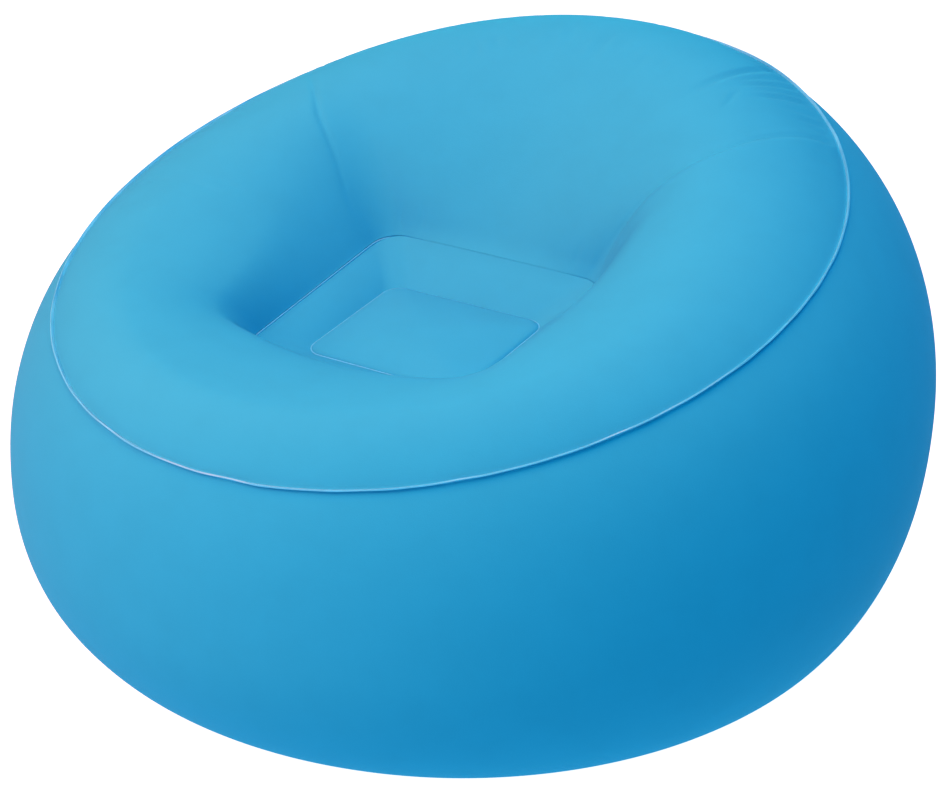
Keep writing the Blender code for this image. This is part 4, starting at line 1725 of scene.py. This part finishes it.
@dataclass
class Valve:
    """Screw valve in the middle of the back: flange, neck, gasket, strap ring, insert, flap and stopper."""

    place: ValvePlace
    sizes: ValveSizes = ValveSizes()
    steps: int = 120
    rim_steps: int = 240
    edge_rounding: float = 0.3 * MILLIMETRE
    weld_ridges: tuple[float, ...] = (0.0215, 0.0240, 0.0265)
    ridge_width: float = 1.2 * MILLIMETRE
    ridge_rise: float = 0.4 * MILLIMETRE
    notches: int = 10
    notch_radius: float = 1.6 * MILLIMETRE
    thread_pitch: float = 4.0 * MILLIMETRE
    thread_rise: float = 0.22 * MILLIMETRE
    thread_top: float = 3.0 * MILLIMETRE
    thread_bottom: float = -11.0 * MILLIMETRE
    thread_rows: int = 36
    groove_depth: float = 0.5 * MILLIMETRE
    tab_corner: float = 3.4 * MILLIMETRE
    tab_corner_faces: int = 6
    grip_size: Vector = field(default_factory=lambda: Vector((5.6, 0.7, 0.5)) * MILLIMETRE)
    grips: tuple[float, ...] = (0.0150, 0.0168, 0.0186)
    bend_radius: float = 1.6 * MILLIMETRE
    bend_steps: int = 6
    strap_rounding: float = 0.24 * MILLIMETRE
    strap_sharp_from: float = math.radians(50)
    strap_shaded_from: float = math.radians(35)

    def put(
        self,
        name: str,
        shape: bmesh.types.BMesh,
        material: bpy.types.Material,
        rounding: float,
    ) -> bpy.types.Object:
        """Set a piece of the valve into the chair.

        Args:
            name: Name of the piece.
            shape: Its mesh along the valve's own axes.
            material: Its finish.
            rounding: Width of its rounded edges.

        Returns:
            The piece.
        """
        bmesh.ops.transform(shape, matrix=self.place.matrix(), verts=shape.verts)
        piece = new_object(name, shape, material)
        round_edges(piece, rounding)
        return piece

    def flange_shape(self) -> bmesh.types.BMesh:
        """Soft disc with the ridges that the welding tool leaves."""
        size = self.sizes
        half = self.ridge_width / 2
        profile = [(size.flange_inside, size.flange_bottom), (size.flange_inside, size.flange_top)]
        for radius in self.weld_ridges:
            raised = size.flange_top + self.ridge_rise
            profile += [(radius - half, size.flange_top), (radius - half / 2, raised)]
            profile += [(radius + half / 2, raised), (radius + half, size.flange_top)]
        profile += [(size.flange_outside - half, size.flange_top), (size.flange_outside, size.flange_bottom)]
        return turned(profile, self.rim_steps)

    def neck_shape(self) -> bmesh.types.BMesh:
        """Stiff ring that the insert screws into, with the collar behind the skin."""
        size = self.sizes
        return turned(
            [
                (size.neck_radius, size.neck_top),
                (size.neck_radius, size.collar_top),
                (size.collar_radius, size.collar_top),
                (size.collar_radius, size.collar_bottom),
                (size.neck_radius, size.collar_bottom),
                (size.neck_radius, size.neck_bottom),
                (size.neck_bore, size.neck_bottom),
                (size.neck_bore, size.neck_top),
            ],
            self.steps,
        )

    def ring_shape(self, inside: float, outside: float, bottom: float, top: float) -> bmesh.types.BMesh:
        """Plain ring.

        Args:
            inside: Radius of its hole.
            outside: Its outer radius.
            bottom: Height of its lower face.
            top: Height of its upper face.

        Returns:
            The bmesh.
        """
        return turned([(inside, bottom), (outside, bottom), (outside, top), (inside, top)], self.steps)

    def gasket_shape(self) -> bmesh.types.BMesh:
        """Rubber ring under the insert's rim."""
        size = self.sizes
        return self.ring_shape(size.gasket_inside, size.gasket_outside, size.gasket_bottom, size.gasket_top)

    def strap_ring_shape(self) -> bmesh.types.BMesh:
        """Ring that carries the stopper's strap."""
        size = self.sizes
        return self.ring_shape(size.ring_inside, size.rim_radius, size.ring_bottom, size.ring_top)

    def insert_shape(self) -> bmesh.types.BMesh:
        """Threaded insert with a notched rim, and the spider at the bottom of its bore."""
        size = self.sizes
        sunk = size.rim_top - self.groove_depth
        profile = [
            (size.bore, size.barrel_bottom),
            (size.bore, size.rim_top),
            (size.groove_inside, size.rim_top),
            (size.groove_inside, sunk),
            (size.groove_outside, sunk),
            (size.groove_outside, size.rim_top),
            (size.rim_radius, size.rim_top),
            (size.rim_radius, size.rim_bottom),
            (size.barrel_radius, size.rim_bottom),
        ]
        drop = self.thread_top - self.thread_bottom
        rows = range(self.thread_rows + 1)
        profile += [(size.barrel_radius, self.thread_top - drop * row / self.thread_rows) for row in rows]
        profile.append((size.barrel_radius, size.barrel_bottom))
        shape = turned(profile, self.rim_steps)
        for vertex in shape.verts:
            radius = math.hypot(vertex.co.x, vertex.co.y)
            turn = math.atan2(vertex.co.y, vertex.co.x)
            if radius > size.rim_radius - MERGE_DISTANCE:
                wanted = self.notched(turn)
            elif abs(radius - size.barrel_radius) < MERGE_DISTANCE:
                wanted = radius + self.thread(turn, vertex.co.z)
            else:
                wanted = radius
            vertex.co.x *= wanted / radius
            vertex.co.y *= wanted / radius
        bar = Vector((size.bar_length, size.bar_width, size.bar_width))
        for across in (bar, bar.yxz):
            add_block(shape, across, Vector((0, 0, size.bar_height)))
        return shape

    def notched(self, turn: float) -> float:
        """Radius of the insert's rim, with its finger notches.

        Args:
            turn: Turn about the valve's axis.

        Returns:
            The radius there.
        """
        spacing = FULL_TURN / self.notches
        away = (turn % spacing) - spacing / 2
        side = self.sizes.rim_radius * math.sin(away)
        if abs(side) >= self.notch_radius:
            return self.sizes.rim_radius
        return self.sizes.rim_radius * math.cos(away) - math.sqrt(self.notch_radius**2 - side**2)

    def thread(self, turn: float, height: float) -> float:
        """Rise of the right-hand thread over the insert's barrel.

        Args:
            turn: Turn about the valve's axis.
            height: Height along it.

        Returns:
            The rise there.
        """
        if not self.thread_bottom < height < self.thread_top:
            return 0.0
        phase = height / self.thread_pitch - turn / FULL_TURN
        return self.thread_rise * max(2 * math.cos(FULL_TURN * phase) - 1, 0.0)

    def flap_shape(self) -> bmesh.types.BMesh:
        """Rubber disc that closes the bore from inside."""
        size = self.sizes
        corners = [(0, size.flap_top), (size.flap_radius, size.flap_top)]
        corners += [(size.flap_radius, size.flap_bottom), (0, size.flap_bottom)]
        return turned(corners, self.steps, closed=False)

    def stopper_shape(self) -> bmesh.types.BMesh:
        """Hollow plug with a cap, and the pull tab with its grip ridges."""
        size = self.sizes
        sunk = size.cap_top - self.groove_depth
        shape = turned(
            [
                (0, sunk),
                (size.plug_inside, sunk),
                (size.plug_radius, size.cap_top),
                (size.cap_radius, size.cap_top),
                (size.cap_radius, size.cap_bottom),
                (size.plug_radius, size.cap_bottom),
                (size.plug_radius, size.plug_bottom),
                (size.plug_inside, size.plug_bottom),
                (size.plug_inside, size.cap_bottom),
                (0, size.cap_bottom),
            ],
            self.steps,
            closed=False,
        )
        length = size.tab_end - size.tab_start
        middle = Vector((0, size.tab_start + length / 2, size.strap_high))
        corners = add_block(shape, Vector((size.tab_width, length, size.strap_thickness)), middle)
        far = [vertex for vertex in corners if vertex.co.y > middle.y]
        edges = {edge for vertex in far for edge in vertex.link_edges if edge.other_vert(vertex) in far}
        upright = [edge for edge in edges if abs(edge.verts[0].co.x - edge.verts[1].co.x) < TINY]
        bmesh.ops.bevel(
            shape,
            geom=upright,
            offset=self.tab_corner,
            affect="EDGES",
            segments=self.tab_corner_faces,
            profile=0.5,
            material=-1,
        )
        for spot in self.grips:
            top = size.strap_high + size.strap_thickness / 2
            add_block(shape, self.grip_size, Vector((0, spot, top)))
        return shape

    def strap_path(self) -> list[Vector]:
        """Outer face of the strap, from the strap ring up to the stopper's cap.

        Returns:
            Points in the plane X = 0 of the valve's own axes.
        """
        size = self.sizes
        lift = size.strap_thickness / 2
        low = Vector((0, -size.strap_reach + self.bend_radius, size.strap_low + self.bend_radius))
        high = Vector((0, -size.strap_reach + self.bend_radius, size.strap_high - self.bend_radius))
        radius = self.bend_radius + lift
        path = [Vector((0, -size.rim_radius + lift, size.strap_low - lift))]
        for centre, first in ((low, 0.0), (high, QUARTER_TURN)):
            for step in range(self.bend_steps + 1):
                angle = first + QUARTER_TURN * step / self.bend_steps
                path.append(centre + Vector((0, -math.sin(angle), -math.cos(angle))) * radius)
        path.append(Vector((0, -size.cap_radius + lift, size.strap_high + lift)))
        return path

    def strap_shape(self) -> bmesh.types.BMesh:
        """Flat strap that bends over from the ring to the cap."""
        size = self.sizes
        shape = bmesh.new()
        path = self.strap_path()
        first = [shape.verts.new(path[0] + Vector((side * size.strap_width / 2, 0, 0))) for side in (-1, 1)]
        edge = shape.edges.new(first)
        for before, after in zip(path, path[1:]):
            grown = bmesh.ops.extrude_edge_only(shape, edges=[edge])["geom"]
            corners = [item for item in grown if isinstance(item, bmesh.types.BMVert)]
            bmesh.ops.translate(shape, vec=after - before, verts=corners)
            edge = next(item for item in grown if isinstance(item, bmesh.types.BMEdge))
        bmesh.ops.recalc_face_normals(shape, faces=shape.faces)
        if shape.faces[0].normal.z > 0:
            bmesh.ops.reverse_faces(shape, faces=shape.faces)
        bmesh.ops.solidify(shape, geom=shape.faces[:], thickness=size.strap_thickness)
        bmesh.ops.recalc_face_normals(shape, faces=shape.faces)
        sharp = [edge for edge in shape.edges if edge.calc_face_angle(0) > self.strap_sharp_from]
        bmesh.ops.bevel(
            shape,
            geom=sharp,
            offset=self.strap_rounding,
            affect="EDGES",
            segments=2,
            profile=0.5,
            material=-1,
        )
        return shape

    def build_strap(self, finishes: Finishes) -> bpy.types.Object:
        """Make the strap, whose fixed mesh bends over from the ring to the stopper.

        Args:
            finishes: The chair's finishes.

        Returns:
            The strap.
        """
        matrix = self.place.matrix()
        shape = self.strap_shape()
        bmesh.ops.transform(shape, matrix=matrix, verts=shape.verts)
        strap = new_object("stopper_bend_strap", shape, finishes.of(Slot.VALVE_PLASTIC))
        strap.data.set_sharp_from_angle(angle=self.strap_shaded_from)
        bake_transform(strap)
        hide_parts("stopper_strap")
        LOG.info("%s bends between %s and %s", strap.name, Body.STRAP_CARRIER.value, Body.PLUG.value)
        return strap

    def build(self, finishes: Finishes) -> list[bpy.types.Object]:
        """Make the valve's pieces.

        Args:
            finishes: The chair's finishes.

        Returns:
            The pieces.
        """
        plans = [
            ("valve_disc", self.flange_shape(), Slot.WELD_SEAM, Body.CHAIR, "valve_flange"),
            ("valve_ring", self.neck_shape(), Slot.VALVE_PLASTIC, Body.CHAIR, "valve_neck"),
            ("valve_seal", self.gasket_shape(), Slot.VALVE_RUBBER, Body.CHAIR, "valve_gasket"),
            ("strap_band", self.strap_ring_shape(), Slot.VALVE_PLASTIC, Body.STRAP_CARRIER, "strap_ring"),
            ("screw_insert", self.insert_shape(), Slot.VALVE_PLASTIC, Body.INSERT, "valve_insert"),
            ("air_flap", self.flap_shape(), Slot.VALVE_RUBBER, Body.FLAP, "check_flap"),
            ("pull_stopper", self.stopper_shape(), Slot.VALVE_PLASTIC, Body.PLUG, "stopper"),
        ]
        pieces = []
        for name, shape, slot, body, node in plans:
            piece = self.put(name, shape, finishes.of(slot), self.edge_rounding)
            pieces.append(declare(piece, body, slot, node))
        pieces.append(self.build_strap(finishes))
        return pieces


@dataclass
class BasePanel:
    """Flat disc that the chair stands on."""

    shape: DrumShape
    skin: float = 0.4 * MILLIMETRE
    columns: int = 240

    def build(self, finishes: Finishes) -> bpy.types.Object:
        """Make the disc.

        Args:
            finishes: The chair's finishes.

        Returns:
            The disc.
        """
        disc = bmesh.new()
        bmesh.ops.create_circle(disc, cap_ends=True, segments=self.columns, radius=self.shape.base_radius)
        bmesh.ops.reverse_faces(disc, faces=disc.faces)
        panel = new_object("base_disc", disc, finishes.of(Slot.FLOCKED_SHEET))
        thicken(panel, self.skin, -1)
        return declare(panel, Body.CHAIR, Slot.FLOCKED_SHEET, "base_panel")


# Studio


def direction(azimuth: float, elevation: float) -> Vector:
    """Direction from its azimuth, measured from the chair's front towards +X, and its elevation.

    Args:
        azimuth: Degrees round the chair.
        elevation: Degrees over the floor.

    Returns:
        The direction.
    """
    around, up = math.radians(azimuth), math.radians(elevation)
    level = math.cos(up)
    return Vector((math.sin(around) * level, -math.cos(around) * level, math.sin(up)))


@dataclass(frozen=True)
class Lamp:
    """A soft square lamp."""

    name: str
    azimuth: float
    elevation: float
    power: float
    colour: Colour

    def build(self, aim: Vector, distance: float, size: float) -> bpy.types.Object:
        """Hang the lamp.

        Args:
            aim: Point that it looks at.
            distance: Distance from that point.
            size: Length of its sides.

        Returns:
            The lamp.
        """
        towards = direction(self.azimuth, self.elevation)
        data = bpy.data.lights.new(self.name, "AREA")
        data.shape = "SQUARE"
        data.size = size
        data.energy = self.power
        data.color = self.colour
        lamp = bpy.data.objects.new(self.name, data)
        lamp.location = aim + towards * distance
        lamp.rotation_euler = towards.to_track_quat("Z", "Y").to_euler()
        bpy.context.scene.collection.objects.link(lamp)
        return lamp


@dataclass
class Studio:
    """Pale floor, soft light, and the camera at the photograph's view."""

    aim: Vector = field(default_factory=lambda: Vector((0, 0, 0.3)))
    camera_azimuth: float = 33.62
    camera_elevation: float = 23.78
    camera_distance: float = 2.80
    picture_width: float = 949
    picture_height: float = 794
    focal_pixels: float = 2286.2
    axis_x_pixel: float = 470.0
    axis_y_pixel: float = 372.9
    sensor_width: float = 36
    floor_size: float = 400
    floor_drop: float = 0.2 * MILLIMETRE
    sky: Colour = (0.45, 0.46, 1.0)
    sky_strength: float = 0.222
    lamp_distance: float = 3.0
    lamp_size: float = 2.0
    lamps: tuple[Lamp, ...] = (
        Lamp("key", -32, 35, 254, (1.0, 0.145, 0.090)),
        Lamp("overhead", 0, 89, 189, (1.0, 0.080, 0.020)),
        Lamp("front_fill", 20, 50, 12.3, (0.02, 1.0, 0.72)),
        Lamp("top_fill", 50, 62, 19.5, (0.01, 1.0, 0.95)),
        Lamp("rim", -150, 25, 22.0, (0.01, 1.0, 0.75)),
        Lamp("rear_fill", 150, 55, 14.4, (0.01, 0.9, 1.0)),
    )

    def build_camera(self) -> bpy.types.Object:
        """Set up the camera."""
        data = bpy.data.cameras.new("camera")
        data.sensor_fit = "HORIZONTAL"
        data.sensor_width = self.sensor_width
        data.lens = self.focal_pixels / self.picture_width * self.sensor_width
        data.shift_x = (self.picture_width / 2 - self.axis_x_pixel) / self.picture_width
        data.shift_y = (self.axis_y_pixel - self.picture_height / 2) / self.picture_width
        data.clip_end = self.floor_size * 2
        camera = bpy.data.objects.new("camera", data)
        towards = direction(self.camera_azimuth, self.camera_elevation)
        camera.location = self.aim + towards * self.camera_distance
        camera.rotation_euler = towards.to_track_quat("Z", "Y").to_euler()
        bpy.context.scene.collection.objects.link(camera)
        bpy.context.scene.camera = camera
        return camera

    def build_floor(self) -> bpy.types.Object:
        """Lay the floor."""
        shape = bmesh.new()
        bmesh.ops.create_grid(shape, x_segments=1, y_segments=1, size=self.floor_size / 2)
        bmesh.ops.translate(shape, vec=(0, 0, -self.floor_drop), verts=shape.verts)
        floor = new_object("studio_floor", shape, FloorFinish().build())
        return floor

    def build_sky(self) -> None:
        """Light the scene evenly from all round."""
        world = bpy.data.worlds.new("studio")
        world.use_nodes = True
        background = world.node_tree.nodes["Background"]
        background.inputs["Color"].default_value = (*self.sky, 1)
        background.inputs["Strength"].default_value = self.sky_strength
        bpy.context.scene.world = world

    def build(self) -> None:
        """Set up the whole studio."""
        self.build_camera()
        self.build_floor()
        self.build_sky()
        for lamp in self.lamps:
            lamp.build(self.aim, self.lamp_distance, self.lamp_size)
        bpy.context.scene.view_settings.view_transform = "Standard"
        bpy.context.scene.view_settings.look = "High Contrast"
        LOG.info("studio with %d lamps", len(self.lamps))


def dress_nodes(finishes: Finishes) -> None:
    """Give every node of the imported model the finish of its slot.

    Args:
        finishes: The chair's finishes.
    """
    for part in frame["record"]["subparts"]:
        node = bpy.data.objects[part["node"]]
        material = finishes.of(Slot(part["material_slot"]))
        node.data.materials.clear()
        node.data.materials.append(material)


def main() -> None:
    """Dress the chair and set up its studio."""
    logging.basicConfig(level=logging.INFO, format="%(name)s: %(message)s")
    shape = DrumShape()
    finishes = Finishes()
    dress_nodes(finishes)
    place = ValvePlace.on(shape)
    TopPanel(shape).build(finishes)
    SidePanel(shape, valve=place).build(finishes)
    SeatPocket(shape).build(finishes)
    PerimeterSeam(shape).build(finishes)
    BasePanel(shape).build(finishes)
    Valve(place).build(finishes)
    Studio().build()


if __name__ == "__main__":
    main()
